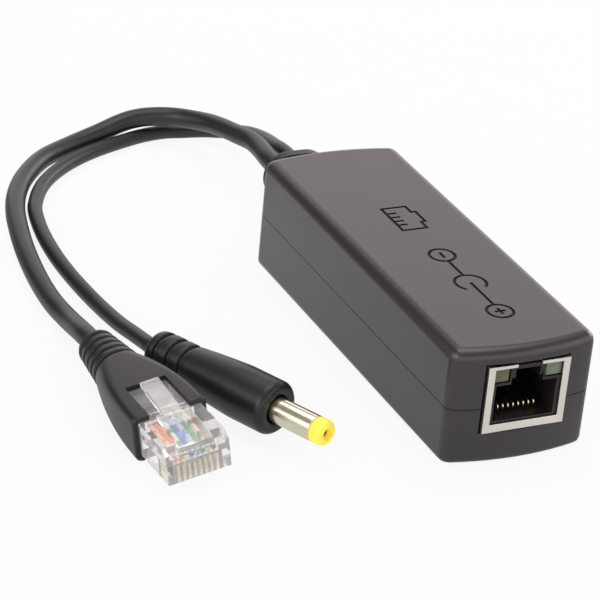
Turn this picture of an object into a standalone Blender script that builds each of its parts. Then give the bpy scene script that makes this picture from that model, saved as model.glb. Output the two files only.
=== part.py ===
# PoE splitter: a two-shell plastic housing with a shielded RJ45 jack in its front end, and two short
# cords at its rear end, one with an RJ45 plug and one with a barrel power plug.
# Units are metres and +Z is up. The jack faces -Y. The origin is under the middle of the housing.
import math

import bmesh
import bpy
from mathutils import Euler, Matrix, Vector

MM = 0.001
FIT = 0.3 * MM                    # gap between pieces that seat on each other
WELD = 0.001 * MM                 # distance at which doubled points are merged
THROUGH = 1.0 * MM                # how far a cutter runs past the face it cuts
SMOOTH_ANGLE = math.radians(32)   # edges that turn less than this are shaded smooth

# Housing
HOUSING_LENGTH = 84.0 * MM
HOUSING_WIDTH = 28.2 * MM
HOUSING_HEIGHT = 22.2 * MM
END_BULGE = 1.9 * MM              # how far each end face swells out in plan
WALL = 1.8 * MM
CORNER_RADIUS = 2.2 * MM
TOP_EDGE_RADIUS = 2.0 * MM
BOTTOM_EDGE_RADIUS = 1.2 * MM
SMALLEST_FILLET = 0.3 * MM
TOP_COVER_HEIGHT = 11.3 * MM      # from the seam to the top face
LIP_HEIGHT = 1.3 * MM             # tongue of the top cover inside the bottom cover

# Circuit board and the posts that hold it
BOARD_THICKNESS = 1.6 * MM
BOARD_SIDE_GAP = 0.8 * MM         # from the board's long edge to the wall
BOARD_FRONT_SETBACK = 4.6 * MM
BOARD_REAR_SETBACK = 8.5 * MM
POST_DIAMETER = 3.6 * MM
POST_PIN_DIAMETER = 1.6 * MM
POST_EDGE = 2.1 * MM              # from the board's long edge to a post's axis
FRONT_POST_SETBACK = 26.0 * MM
REAR_POST_SETBACK = 14.0 * MM

# Parts on the board. Widths are across the board and depths along it
LAN_WIDTH = 11.6 * MM
LAN_DEPTH = 7.0 * MM
LAN_HEIGHT = 5.6 * MM
LAN_LEAD_COUNT = 6
RECTIFIER_WIDTH = 4.7 * MM
RECTIFIER_DEPTH = 3.9 * MM
RECTIFIER_HEIGHT = 2.4 * MM
RECTIFIER_LEAD_COUNT = 2
CONTROLLER_WIDTH = 4.9 * MM
CONTROLLER_DEPTH = 3.9 * MM
CONTROLLER_HEIGHT = 1.6 * MM
CONTROLLER_LEAD_COUNT = 4
PACKAGE_CHAMFER = 0.3 * MM
PACKAGE_LEAD_REACH = 0.9 * MM
CORE_SIZE = 12.0 * MM
CORE_HEIGHT = 10.5 * MM
CORE_CHAMFER = 0.4 * MM
WINDING_DIAMETER = 8.0 * MM
WINDING_PROUD = 1.0 * MM
INPUT_CAPACITOR_DIAMETER = 8.0 * MM
OUTPUT_CAPACITOR_DIAMETER = 6.3 * MM
CAPACITOR_HEIGHT = 11.5 * MM
CAPACITOR_GROOVE = 0.5 * MM
INDUCTOR_DIAMETER = 7.2 * MM
INDUCTOR_HEIGHT = 6.0 * MM
INDUCTOR_FLANGE = 1.2 * MM
INDUCTOR_WAIST = 6.0 * MM
LEAD_STRAIGHT = 1.2 * MM          # how far a lead runs straight out of its jacket
LEAD_DROP = 1.6 * MM              # how far it has dropped when it is above its pad
LEAD_SPACING = 1.6 * MM           # distance between the points of its curve
DATA_PAD_PITCH = 1.7 * MM
DATA_PAD_SETBACK = 1.8 * MM       # from the board's rear edge to the first row of cord pads
DATA_PAD_ROW = 2.8 * MM
POWER_PAD_PITCH = 3.2 * MM
POWER_PAD_SETBACK = 2.4 * MM
POWER_PAD_SHIFT = 3.2 * MM        # from the power cord's line to the middle of its pads
PAD_ZONE = 5.6 * MM               # rear strip of the board that the cords' pads take

# Jack
JACK_HEADROOM = 1.1 * MM          # from the jack's top to the ceiling
JACK_WIDTH = 16.0 * MM
JACK_HEIGHT = 12.9 * MM
JACK_DEPTH = 21.0 * MM
JACK_PROUD = 0.15 * MM
SHIELD_SHEET = 0.3 * MM
SHIELD_PLAY = 0.15 * MM
SHIELD_SIDE_LIP = 1.3 * MM
SHIELD_BOTTOM_LIP = 1.5 * MM
SHIELD_TOP_LIP = 0.6 * MM
SHIELD_TAB_WIDTH = 2.0 * MM
SHIELD_TAB_SETBACK = 12.0 * MM
SHIELD_FLOOR_LENGTH = 6.0 * MM
SOCKET_WIDTH = 11.9 * MM
SOCKET_HEIGHT = 6.9 * MM
SOCKET_DEPTH = 14.5 * MM
SOCKET_FLOOR = 1.9 * MM
LATCH_SLOT_WIDTH = 6.2 * MM        # lower step, for the latch's wide root
LATCH_STEP_HEIGHT = 1.2 * MM
LATCH_LEVER_SLOT_WIDTH = 4.8 * MM  # upper step, for its narrow lever
LATCH_SLOT_HEIGHT = 2.9 * MM       # both steps together
LATCH_SLOT_DEPTH = 9.0 * MM
LED_WIDTH = 3.25 * MM
LED_HEIGHT = 2.6 * MM
LED_LENGTH = 4.5 * MM
LED_INSET = 0.7 * MM              # from the body's side face to the LED
LED_PLAY = 0.15 * MM
LED_EDGE = 0.25 * MM
CONTACT_COUNT = 8
CONTACT_PITCH = 1.02 * MM
JACK_WIRE_DIAMETER = 0.4 * MM
JACK_WIRE_SETBACK = 2.7 * MM      # from the body's front to the wires' front bend
JACK_WIRE_BEND = 0.95 * MM        # height of the front bend
JACK_WIRE_SHELF = 7.2 * MM        # where the wires start to climb
JACK_WIRE_CLIMB = 3.2 * MM

# Cord grommet in the rear wall
GROMMET_NECK_WIDTH = 11.4 * MM
GROMMET_NECK_HEIGHT = 8.2 * MM
GROMMET_FLANGE_RIM = 1.4 * MM
GROMMET_FLANGE_THICKNESS = 1.5 * MM
GROMMET_BASE_WIDTH = 14.4 * MM
GROMMET_BASE_HEIGHT = 11.0 * MM
GROMMET_END_WIDTH = 13.7 * MM
GROMMET_END_HEIGHT = 10.2 * MM
GROMMET_LENGTH = 13.0 * MM
GROMMET_GROOVES = 3
GROMMET_GROOVE_DEPTH = 0.7 * MM
GROMMET_GROOVE_WIDTH = 1.1 * MM
CORD_ENTRY = 2.5 * MM             # how far the jackets reach in past the grommet's flange

# Cords
ETHERNET_DIAMETER = 4.0 * MM
POWER_DIAMETER = 3.0 * MM
ETHERNET_EXIT_X = -2.3 * MM
POWER_EXIT_X = 2.6 * MM
LEAD_DIAMETER = 0.8 * MM
POWER_LEAD_DIAMETER = 1.0 * MM

# RJ45 plug and boot, measured from the nose backwards
PLUG_WIDTH = 11.7 * MM
PLUG_HEIGHT = 6.6 * MM
PLUG_LENGTH = 21.5 * MM
PLUG_NOSE_CHAMFER = 1.3 * MM
PLUG_WALL = 1.0 * MM
PLUG_SIDE_WALL = 1.2 * MM
PLUG_WIRE_DIAMETER = 0.86 * MM
PLUG_WIRE_HEIGHT = 3.6 * MM
PLUG_CHANNEL_DEPTH = 19.6 * MM    # wire channel, from the plug's rear face
PLUG_ENTRY_DEPTH = 10.5 * MM      # wider part that takes the cord's jacket
PLUG_PLAY = 0.15 * MM
BLADE_THICKNESS = 0.36 * MM
BLADE_LENGTH = 3.2 * MM
BLADE_HEIGHT = 2.6 * MM
BLADE_SETBACK = 1.1 * MM
LATCH_WIDE = 6.0 * MM
LATCH_NARROW = 3.4 * MM
LATCH_THICKNESS = 0.9 * MM
LATCH_SHOULDER = 9.6 * MM
LATCH_END = 18.6 * MM
LATCH_RISE = 2.2 * MM
LATCH_ROOT_START = 0.4 * MM       # where the latch grows out of the sloping top of the nose
NOSE_NOTCH_WIDTH = 1.9 * MM       # pits in the nose on both sides of the latch's root
NOSE_NOTCH_LENGTH = 2.2 * MM
NOSE_NOTCH_DEPTH = 1.8 * MM
CRIMP_WIDTH = 7.4 * MM            # pressed bar that grips the cord's jacket
CRIMP_LENGTH = 3.0 * MM
CRIMP_DEPTH = 0.6 * MM
CRIMP_START = 12.6 * MM
BOOT_START = 10.6 * MM
BOOT_LENGTH = 32.0 * MM
BOOT_FRONT_WIDTH = 13.9 * MM
BOOT_FRONT_HEIGHT = 8.8 * MM
BOOT_REAR_DIAMETER = 7.0 * MM
BOOT_NECK_WIDTH = 9.4 * MM         # where the square mouth has narrowed to the ribbed neck
BOOT_NECK_HEIGHT = 8.2 * MM
BOOT_CORNER_RADIUS = 1.2 * MM
BOOT_LIFT = 0.15 * MM             # how much higher the neck's middle is than the plug's
BOOT_FRONT_EDGE = 0.25 * MM
BOOT_RIBS = 5
BOOT_RIB_PITCH = 2.1 * MM
BOOT_GROOVE_DEPTH = 0.6 * MM
BOOT_SLOT_WIDTH = 7.6 * MM
BOOT_SLOT_LENGTH = 10.0 * MM

# Barrel power plug, measured from the body's front face
POWER_BODY_LENGTH = 30.5 * MM
POWER_BODY_DIAMETER = 10.0 * MM
POWER_NECK_DIAMETER = 8.0 * MM
POWER_NECK_LENGTH = 11.0 * MM
POWER_NECK_GROOVES = 3
POWER_FRONT_EDGE = 0.5 * MM
POWER_GROOVE_DEPTH = 0.7 * MM
POWER_GROOVE_WIDTH = 1.0 * MM
BARREL_DIAMETER = 4.8 * MM
BARREL_BORE = 3.8 * MM
BARREL_LENGTH = 9.0 * MM
BARREL_ANCHOR = 6.0 * MM          # part of the barrel held inside the body
BARREL_DETENT_DIAMETER = 1.0 * MM
BARREL_DETENT_SETBACK = 2.2 * MM
TIP_LENGTH = 2.6 * MM
TIP_CHAMFER = 0.9 * MM
TIP_SLEEVE = 6.0 * MM
TIP_BORE = 2.4 * MM
INNER_CONTACT_DIAMETER = 1.9 * MM
INNER_CONTACT_BORE = 1.3 * MM
INNER_CONTACT_LENGTH = 10.0 * MM
INNER_CONTACT_SETBACK = 1.0 * MM  # from the tip's front face
RADIAL_PLAY = 0.15 * MM

# Where the plugs lie: heading turns a plug about Z, tilt lifts its front, roll turns it about its length
PLUG_NOSE = Vector((-57.3, -34.9, 2.35)) * MM
PLUG_HEADING = math.radians(2.9)
PLUG_ROLL = math.radians(9.5)
PLUG_TILT = math.radians(1.0)
POWER_FRONT = Vector((-37.9, -23.0, 5.38)) * MM
POWER_HEADING = math.radians(22.9)
POWER_TILT = math.radians(1.7)

# Heights and planes that follow from the sizes above
FRONT_Y = -HOUSING_LENGTH / 2
REAR_Y = HOUSING_LENGTH / 2
END_ARC_RADIUS = (HOUSING_WIDTH / 2) ** 2 / (2 * END_BULGE) + END_BULGE / 2
CEILING = HOUSING_HEIGHT - WALL
SEAM_HEIGHT = HOUSING_HEIGHT - TOP_COVER_HEIGHT
JACK_FRONT = FRONT_Y - JACK_PROUD
JACK_TOP = CEILING - JACK_HEADROOM
JACK_BOTTOM = JACK_TOP - JACK_HEIGHT
SOCKET_BOTTOM = JACK_BOTTOM + SOCKET_FLOOR
PART_SEAT = JACK_BOTTOM
BOARD_TOP = PART_SEAT - FIT
BOARD_BOTTOM = BOARD_TOP - BOARD_THICKNESS
BOARD_WIDTH = HOUSING_WIDTH - 2 * (WALL + BOARD_SIDE_GAP)
BOARD_FRONT = FRONT_Y + BOARD_FRONT_SETBACK
BOARD_REAR = REAR_Y - BOARD_REAR_SETBACK
EXIT_HEIGHT = SEAM_HEIGHT
GROMMET_BASE_Y = REAR_Y + FIT
GROMMET_END_Y = GROMMET_BASE_Y + GROMMET_LENGTH
GROMMET_FLANGE_Y = REAR_Y - WALL - END_BULGE / 4 - FIT
CORD_START_Y = GROMMET_FLANGE_Y - GROMMET_FLANGE_THICKNESS - CORD_ENTRY

# Routes of the cords in millimetres: out of the grommet, down to the surface, round and forward
ETHERNET_ROUTE = (
    (-2.2, 62.2, 10.8), (-1.6, 66.8, 10.5), (-1.2, 72.7, 10.0), (-2.1, 78.2, 9.3), (-2.9, 83.4, 8.5),
    (-3.9, 88.3, 7.6), (-5.5, 92.1, 6.8), (-7.5, 95.0, 6.3), (-9.7, 96.9, 6.0), (-12.4, 98.3, 5.7),
    (-15.5, 99.4, 5.2), (-19.2, 99.8, 4.3), (-25.1, 98.4, 3.0), (-32.0, 95.9, 2.2), (-40.0, 91.0, 2.1),
    (-46.5, 83.6, 2.1), (-50.7, 76.4, 2.1), (-53.4, 69.5, 2.1), (-55.4, 62.0, 2.1), (-57.1, 54.0, 2.1),
    (-58.4, 46.0, 2.1), (-59.3, 38.0, 2.1), (-59.7, 30.0, 2.2), (-59.6, 22.0, 2.8),
)
POWER_ROUTE = (
    (2.8, 65.3, 10.5), (3.1, 70.7, 9.5), (3.8, 76.7, 8.1), (4.0, 83.2, 6.4), (3.2, 88.3, 4.8),
    (1.3, 93.1, 3.1), (-1.8, 96.5, 2.1), (-5.6, 98.2, 1.6), (-9.9, 98.8, 1.6), (-15.0, 98.1, 1.6),
    (-20.4, 96.3, 1.6), (-26.5, 93.8, 1.6), (-32.0, 90.8, 1.6), (-36.8, 87.4, 1.6), (-41.2, 83.3, 1.6),
    (-44.6, 79.0, 1.6), (-47.3, 74.2, 1.6), (-49.4, 69.0, 1.6), (-51.2, 60.0, 1.6), (-52.1, 51.0, 1.6),
    (-52.3, 43.0, 1.6), (-52.0, 35.0, 1.6), (-51.5, 27.0, 1.7), (-51.1, 19.0, 2.2), (-50.4, 12.5, 3.2),
)

parts = None
cutters = None


def start_scene():
    """Empty the scene and make one collection for the parts and one for the cutters."""
    global parts, cutters
    for item in list(bpy.data.objects):
        bpy.data.objects.remove(item)
    parts = bpy.data.collections.new("poe_splitter")
    cutters = bpy.data.collections.new("cutters")
    bpy.context.scene.collection.children.link(parts)
    bpy.context.scene.collection.children.link(cutters)


def make_material(name, color, roughness, metallic=0.0):
    """A plain Principled material."""
    material = bpy.data.materials.new(name)
    material.use_nodes = True
    shader = material.node_tree.nodes["Principled BSDF"]
    shader.inputs["Base Color"].default_value = (*color, 1.0)
    shader.inputs["Roughness"].default_value = roughness
    shader.inputs["Metallic"].default_value = metallic
    material.diffuse_color = (*color, 1.0)
    return material


def add_part(name, data, material, parent=None):
    """Put a mesh or curve in the parts collection as one named piece."""
    item = bpy.data.objects.new(name, data)
    parts.objects.link(item)
    data.materials.append(material)
    item.parent = parent
    return item


def add_cutter(name, data, parent=None):
    """Put a mesh in the cutters collection, drawn as wire and left out of the model."""
    item = bpy.data.objects.new(name, data)
    cutters.objects.link(item)
    item.hide_render = True
    item.display_type = "WIRE"
    item.parent = parent
    return item


def shade_by_angle():
    """Modifier group that shades faces smooth and keeps edges sharp past the limit."""
    group = bpy.data.node_groups.new("shade_by_angle", "GeometryNodeTree")
    group.interface.new_socket("Geometry", in_out="INPUT", socket_type="NodeSocketGeometry")
    group.interface.new_socket("Geometry", in_out="OUTPUT", socket_type="NodeSocketGeometry")
    start = group.nodes.new("NodeGroupInput")
    end = group.nodes.new("NodeGroupOutput")
    faces = group.nodes.new("GeometryNodeSetShadeSmooth")
    faces.domain = "FACE"
    faces.inputs["Shade Smooth"].default_value = True
    edges = group.nodes.new("GeometryNodeSetShadeSmooth")
    edges.domain = "EDGE"
    edges.inputs["Shade Smooth"].default_value = False
    turn = group.nodes.new("GeometryNodeInputMeshEdgeAngle")
    sharp = group.nodes.new("FunctionNodeCompare")
    sharp.operation = "GREATER_THAN"
    sharp.inputs["B"].default_value = SMOOTH_ANGLE
    group.links.new(start.outputs["Geometry"], faces.inputs["Geometry"])
    group.links.new(faces.outputs["Geometry"], edges.inputs["Geometry"])
    group.links.new(turn.outputs["Unsigned Angle"], sharp.inputs["A"])
    group.links.new(sharp.outputs["Result"], edges.inputs["Selection"])
    group.links.new(edges.outputs["Geometry"], end.inputs["Geometry"])
    return group


def shade_parts():
    """Shade every mesh piece by angle, after its other modifiers."""
    group = shade_by_angle()
    for item in parts.objects:
        if item.type == "MESH":
            item.modifiers.new("shade", "NODES").node_group = group


def boolean(target, tool, operation):
    """Cut the tool out of the target, or join the tool to it."""
    modifier = target.modifiers.new(tool.name, "BOOLEAN")
    modifier.operation = operation
    modifier.solver = "EXACT"
    modifier.object = tool


def cut(target, mesh, name):
    boolean(target, add_cutter(name, mesh, target.parent), "DIFFERENCE")


def join(target, mesh, name):
    boolean(target, add_cutter(name, mesh, target.parent), "UNION")


def mesh_from(bm, name):
    mesh = bpy.data.meshes.new(name)
    bm.to_mesh(mesh)
    bm.free()
    return mesh


def box(name, low, high, bevel=0.0, segments=2):
    """A block between two corners, with its edges rounded if a bevel is given."""
    low = Vector(low)
    high = Vector(high)
    bm = bmesh.new()
    bmesh.ops.create_cube(bm, size=1.0)
    bmesh.ops.transform(bm, verts=bm.verts, matrix=Matrix.LocRotScale((low + high) / 2, None, high - low))
    if bevel:
        bmesh.ops.bevel(bm, geom=bm.edges, offset=bevel, segments=segments, profile=0.5, affect="EDGES")
    return mesh_from(bm, name)


def boxes(name, corners):
    """Several separate blocks in one mesh, for a cutter that repeats."""
    bm = bmesh.new()
    for low, high in corners:
        made = bmesh.ops.create_cube(bm, size=1.0)
        place = Matrix.LocRotScale((Vector(low) + Vector(high)) / 2, None, Vector(high) - Vector(low))
        bmesh.ops.transform(bm, verts=made["verts"], matrix=place)
    return mesh_from(bm, name)


def cylinder(name, radius, low, high, center, axis="Z", sides=20):
    """A cylinder between two heights along an axis."""
    bm = bmesh.new()
    bmesh.ops.create_cone(bm, cap_ends=True, segments=sides, radius1=radius, radius2=radius,
                          depth=high - low)
    turn = {"X": Euler((0, math.pi / 2, 0)), "Y": Euler((math.pi / 2, 0, 0)), "Z": Euler((0, 0, 0))}[axis]
    middle = Vector(center)
    middle["XYZ".index(axis)] = (low + high) / 2
    place = Matrix.LocRotScale(middle, turn, None)
    bmesh.ops.transform(bm, verts=bm.verts, matrix=place)
    return mesh_from(bm, name)


def prism(name, outline, low, high, axis="Z", low_radius=0.0, high_radius=0.0, segments=4):
    """A flat outline given a thickness. Along X the outline holds (y, z), along Y it holds (x, z)."""
    if axis == "Y":
        low, high = -high, -low
    curve = bpy.data.curves.new(name, "CURVE")
    curve.dimensions = "2D"
    curve.fill_mode = "BOTH"
    curve.extrude = (high - low) / 2
    spline = curve.splines.new("POLY")
    spline.points.add(len(outline) - 1)
    spline.use_cyclic_u = True
    for point, (u, v) in zip(spline.points, outline):
        point.co = (u, v, 0, 1)
    guide = bpy.data.objects.new(name, curve)
    cutters.objects.link(guide)
    bpy.context.view_layer.update()
    seen = guide.evaluated_get(bpy.context.evaluated_depsgraph_get())
    mesh = bpy.data.meshes.new_from_object(seen)
    bpy.data.objects.remove(guide)
    bm = bmesh.new()
    bm.from_mesh(mesh)
    bmesh.ops.remove_doubles(bm, verts=bm.verts, dist=WELD)
    bmesh.ops.dissolve_limit(bm, angle_limit=math.radians(0.5), verts=bm.verts, edges=bm.edges)
    bmesh.ops.translate(bm, verts=bm.verts, vec=(0, 0, (low + high) / 2))
    bmesh.ops.recalc_face_normals(bm, faces=bm.faces)
    for height, radius in ((low, low_radius), (high, high_radius)):
        if radius:
            rim = [e for e in bm.edges if all(abs(v.co.z - height) < WELD for v in e.verts)]
            bmesh.ops.bevel(bm, geom=rim, offset=radius, segments=segments, profile=0.5, affect="EDGES")
    if axis == "X":
        turn = Matrix(((0, 0, 1, 0), (1, 0, 0, 0), (0, 1, 0, 0), (0, 0, 0, 1)))
        bmesh.ops.transform(bm, verts=bm.verts, matrix=turn)
    if axis == "Y":
        turn = Matrix(((1, 0, 0, 0), (0, 0, -1, 0), (0, 1, 0, 0), (0, 0, 0, 1)))
        bmesh.ops.transform(bm, verts=bm.verts, matrix=turn)
    result = mesh_from(bm, name)
    bpy.data.meshes.remove(mesh)
    return result


def arc(center, radius, start, end, steps):
    """Points on an arc, angles in radians."""
    points = []
    for k in range(steps + 1):
        angle = start + (end - start) * k / steps
        points.append((center[0] + radius * math.cos(angle), center[1] + radius * math.sin(angle)))
    return points


def rounded_rectangle(width, height, radius, steps=4, middle=(0.0, 0.0)):
    """Outline of a rectangle with rounded corners, counter-clockwise from its right side."""
    radius = min(radius, width / 2 - WELD, height / 2 - WELD)
    right = width / 2 - radius
    top = height / 2 - radius
    points = []
    for quarter, (sx, sy) in enumerate(((1, 1), (-1, 1), (-1, -1), (1, -1))):
        center = (middle[0] + sx * right, middle[1] + sy * top)
        points += arc(center, radius, quarter * math.pi / 2, (quarter + 1) * math.pi / 2, steps)
    return points


def housing_outline(inset):
    """Plan of the housing: straight sides, swelling ends and rounded corners, moved in by the inset."""
    fillet = max(CORNER_RADIUS - inset, SMALLEST_FILLET)
    arc_center = REAR_Y - END_ARC_RADIUS
    corner_x = HOUSING_WIDTH / 2 - inset - fillet
    reach = END_ARC_RADIUS - inset - fillet
    corner_y = arc_center + math.sqrt(reach ** 2 - corner_x ** 2)
    lean = math.atan2(corner_y - arc_center, corner_x)
    rear = arc((corner_x, corner_y), fillet, 0, lean, 4)
    rear += arc((0, arc_center), END_ARC_RADIUS - inset, lean, math.pi - lean, 10)[1:-1]
    rear += arc((-corner_x, corner_y), fillet, math.pi - lean, math.pi, 4)
    return rear + [(-x, -y) for x, y in rear]


def tube(name, points, diameter, material, parent=None, resolution=2):
    """A round wire or cord through the given points, with closed ends."""
    curve = bpy.data.curves.new(name, "CURVE")
    curve.dimensions = "3D"
    curve.bevel_depth = diameter / 2
    curve.bevel_resolution = resolution
    curve.use_fill_caps = True
    spline = curve.splines.new("POLY")
    spline.points.add(len(points) - 1)
    for point, place in zip(spline.points, points):
        point.co = (*place, 1)
    return add_part(name, curve, material, parent)


def smooth_path(points, spacing):
    """Points a set distance apart on a smooth curve through the given points."""
    points = [Vector(p) for p in points]
    ends = [2 * points[0] - points[1]] + points + [2 * points[-1] - points[-2]]
    fine = [points[0]]
    for a, b, c, d in zip(ends, ends[1:], ends[2:], ends[3:]):
        for k in range(1, 17):
            t = k / 16
            fine.append(0.5 * (2 * b + (c - a) * t + (2 * a - 5 * b + 4 * c - d) * t ** 2
                               + (3 * b - a - 3 * c + d) * t ** 3))
    travel = [0.0]
    for a, b in zip(fine, fine[1:]):
        travel.append(travel[-1] + (b - a).length)
    count = max(2, round(travel[-1] / spacing))
    path = []
    step = 0
    for k in range(count + 1):
        target = travel[-1] * k / count
        while step < len(travel) - 2 and travel[step + 1] < target:
            step += 1
        share = (target - travel[step]) / (travel[step + 1] - travel[step])
        path.append(fine[step].lerp(fine[step + 1], share))
    return path


def turned(name, profile, steps, material, parent=None, closed=False):
    """A profile of (radius, height) points turned about Z. It runs down its outer side."""
    mesh = bpy.data.meshes.new(name)
    count = len(profile)
    edges = [(k, k + 1) for k in range(count - 1)]
    if closed:
        edges.append((count - 1, 0))
    mesh.from_pydata([(r, 0, z) for r, z in profile], edges, [])
    item = add_part(name, mesh, material, parent)
    screw = item.modifiers.new("turn", "SCREW")
    screw.axis = "Z"
    screw.angle = 2 * math.pi
    screw.steps = steps
    screw.render_steps = steps
    screw.use_merge_vertices = True
    screw.merge_threshold = WELD
    return item


def loft(name, rings, material, parent=None):
    """A closed skin over rings that have the same number of points."""
    bm = bmesh.new()
    loops = [[bm.verts.new(p) for p in ring] for ring in rings]
    for lower, upper in zip(loops, loops[1:]):
        for k in range(len(lower)):
            after = (k + 1) % len(lower)
            bm.faces.new((lower[k], lower[after], upper[after], upper[k]))
    bm.faces.new(list(reversed(loops[0])))
    bm.faces.new(loops[-1])
    bmesh.ops.recalc_face_normals(bm, faces=bm.faces)
    return add_part(name, mesh_from(bm, name), material, parent)


def ring_at(outline, y):
    """An (x, z) outline stood up at a place along Y."""
    return [(x, y, z) for x, z in outline]


def post_places():
    """Plan positions of the four posts under the board."""
    x = BOARD_WIDTH / 2 - POST_EDGE
    ys = (FRONT_Y + FRONT_POST_SETBACK, REAR_Y - REAR_POST_SETBACK)
    return [(side * x, y) for side in (-1, 1) for y in ys]


def cut_end_openings(cover):
    """The jack's window in the front wall and the grommet's slot in the rear wall."""
    window_low = (-JACK_WIDTH / 2 - FIT, FRONT_Y - THROUGH, JACK_BOTTOM - FIT)
    window_high = (JACK_WIDTH / 2 + FIT, FRONT_Y + WALL + END_BULGE + THROUGH, JACK_TOP + FIT)
    cut(cover, box("jack_window", window_low, window_high), cover.name + "_jack_window")
    neck = rounded_rectangle(GROMMET_NECK_WIDTH + 2 * FIT, GROMMET_NECK_HEIGHT + 2 * FIT,
                             GROMMET_NECK_HEIGHT / 2 + FIT, 6, (0, EXIT_HEIGHT))
    slot = prism("grommet_slot", neck, REAR_Y - WALL - END_BULGE - THROUGH, REAR_Y + THROUGH, "Y")
    cut(cover, slot, cover.name + "_grommet_slot")


def make_bottom_cover(material):
    """Lower shell with four posts whose pins locate the board."""
    low_edge = min(BOTTOM_EDGE_RADIUS, CORNER_RADIUS * 0.95)
    shell = prism("bottom_cover", housing_outline(0), 0, SEAM_HEIGHT - FIT / 2, low_radius=low_edge, segments=3)
    cover = add_part("bottom_cover", shell, material)
    cut(cover, prism("tray", housing_outline(WALL), WALL, SEAM_HEIGHT + THROUGH), "bottom_cavity")
    rebate = housing_outline(WALL / 2)
    low = SEAM_HEIGHT - LIP_HEIGHT - FIT
    cut(cover, prism("rebate", rebate, low, SEAM_HEIGHT + THROUGH), "lip_rebate")
    for number, (x, y) in enumerate(post_places(), 1):
        post = cylinder("post", POST_DIAMETER / 2, WALL / 2, BOARD_BOTTOM - FIT, (x, y, 0), sides=16)
        join(cover, post, f"board_post_{number}")
        pin = cylinder("pin", POST_PIN_DIAMETER / 2, WALL / 2, BOARD_TOP, (x, y, 0), sides=12)
        join(cover, pin, f"board_pin_{number}")
    cut_end_openings(cover)
    return cover


def make_top_cover(material):
    """Upper shell with a tongue inside the seam and four posts that hold the board down."""
    top_edge = min(TOP_EDGE_RADIUS, CORNER_RADIUS * 0.95)
    shell = prism("top_cover", housing_outline(0), SEAM_HEIGHT + FIT / 2, HOUSING_HEIGHT,
                  high_radius=top_edge, segments=5)
    cover = add_part("top_cover", shell, material)
    tongue = housing_outline(WALL / 2 + FIT)
    join(cover, prism("tongue", tongue, SEAM_HEIGHT - LIP_HEIGHT, SEAM_HEIGHT + THROUGH), "lip_tongue")
    cavity = prism("cavity", housing_outline(WALL), SEAM_HEIGHT - LIP_HEIGHT - THROUGH, CEILING)
    cut(cover, cavity, "top_cavity")
    for number, (x, y) in enumerate(post_places(), 1):
        post = cylinder("post", POST_DIAMETER / 2, BOARD_TOP + FIT, CEILING + WALL / 2, (x, y, 0),
                        sides=16)
        join(cover, post, f"hold_down_post_{number}")
    cut_end_openings(cover)
    return cover


def make_grommet(material):
    """Cord grommet: a flange inside the wall, a neck in its slot and a grooved collar outside."""
    rings = []

    def add_ring(width, height, y):
        outline = rounded_rectangle(width, height, height / 2, 6, (0, EXIT_HEIGHT))
        rings.append(ring_at(outline, y))

    flange_width = GROMMET_NECK_WIDTH + 2 * GROMMET_FLANGE_RIM
    flange_height = GROMMET_NECK_HEIGHT + 2 * GROMMET_FLANGE_RIM
    add_ring(flange_width, flange_height, GROMMET_FLANGE_Y - GROMMET_FLANGE_THICKNESS)
    add_ring(flange_width, flange_height, GROMMET_FLANGE_Y)
    add_ring(GROMMET_NECK_WIDTH, GROMMET_NECK_HEIGHT, GROMMET_FLANGE_Y)
    add_ring(GROMMET_NECK_WIDTH, GROMMET_NECK_HEIGHT, GROMMET_BASE_Y)

    def collar_size(y):
        share = (y - GROMMET_BASE_Y) / GROMMET_LENGTH
        width = GROMMET_BASE_WIDTH + (GROMMET_END_WIDTH - GROMMET_BASE_WIDTH) * share
        height = GROMMET_BASE_HEIGHT + (GROMMET_END_HEIGHT - GROMMET_BASE_HEIGHT) * share
        return width, height

    add_ring(*collar_size(GROMMET_BASE_Y), GROMMET_BASE_Y)
    groove_pitch = GROMMET_LENGTH / (GROMMET_GROOVES + 1)
    for number in range(1, GROMMET_GROOVES + 1):
        for side, depth in ((-1, 0), (-1, GROMMET_GROOVE_DEPTH), (1, GROMMET_GROOVE_DEPTH), (1, 0)):
            y = GROMMET_BASE_Y + number * groove_pitch + side * GROMMET_GROOVE_WIDTH / 2
            width, height = collar_size(y)
            add_ring(width - 2 * depth, height - 2 * depth, y)
    rim = GROMMET_GROOVE_DEPTH
    width, height = collar_size(GROMMET_END_Y - rim)
    add_ring(width, height, GROMMET_END_Y - rim)
    add_ring(width - 2 * rim, height - 2 * rim, GROMMET_END_Y)
    grommet = loft("cable_grommet", rings, material)
    for x, diameter in ((ETHERNET_EXIT_X, ETHERNET_DIAMETER), (POWER_EXIT_X, POWER_DIAMETER)):
        bore = cylinder("bore", diameter / 2 + FIT, CORD_START_Y - THROUGH, GROMMET_END_Y + THROUGH,
                        (x, 0, EXIT_HEIGHT), "Y", 16)
        cut(grommet, bore, "cord_bore")
    return grommet


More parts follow.
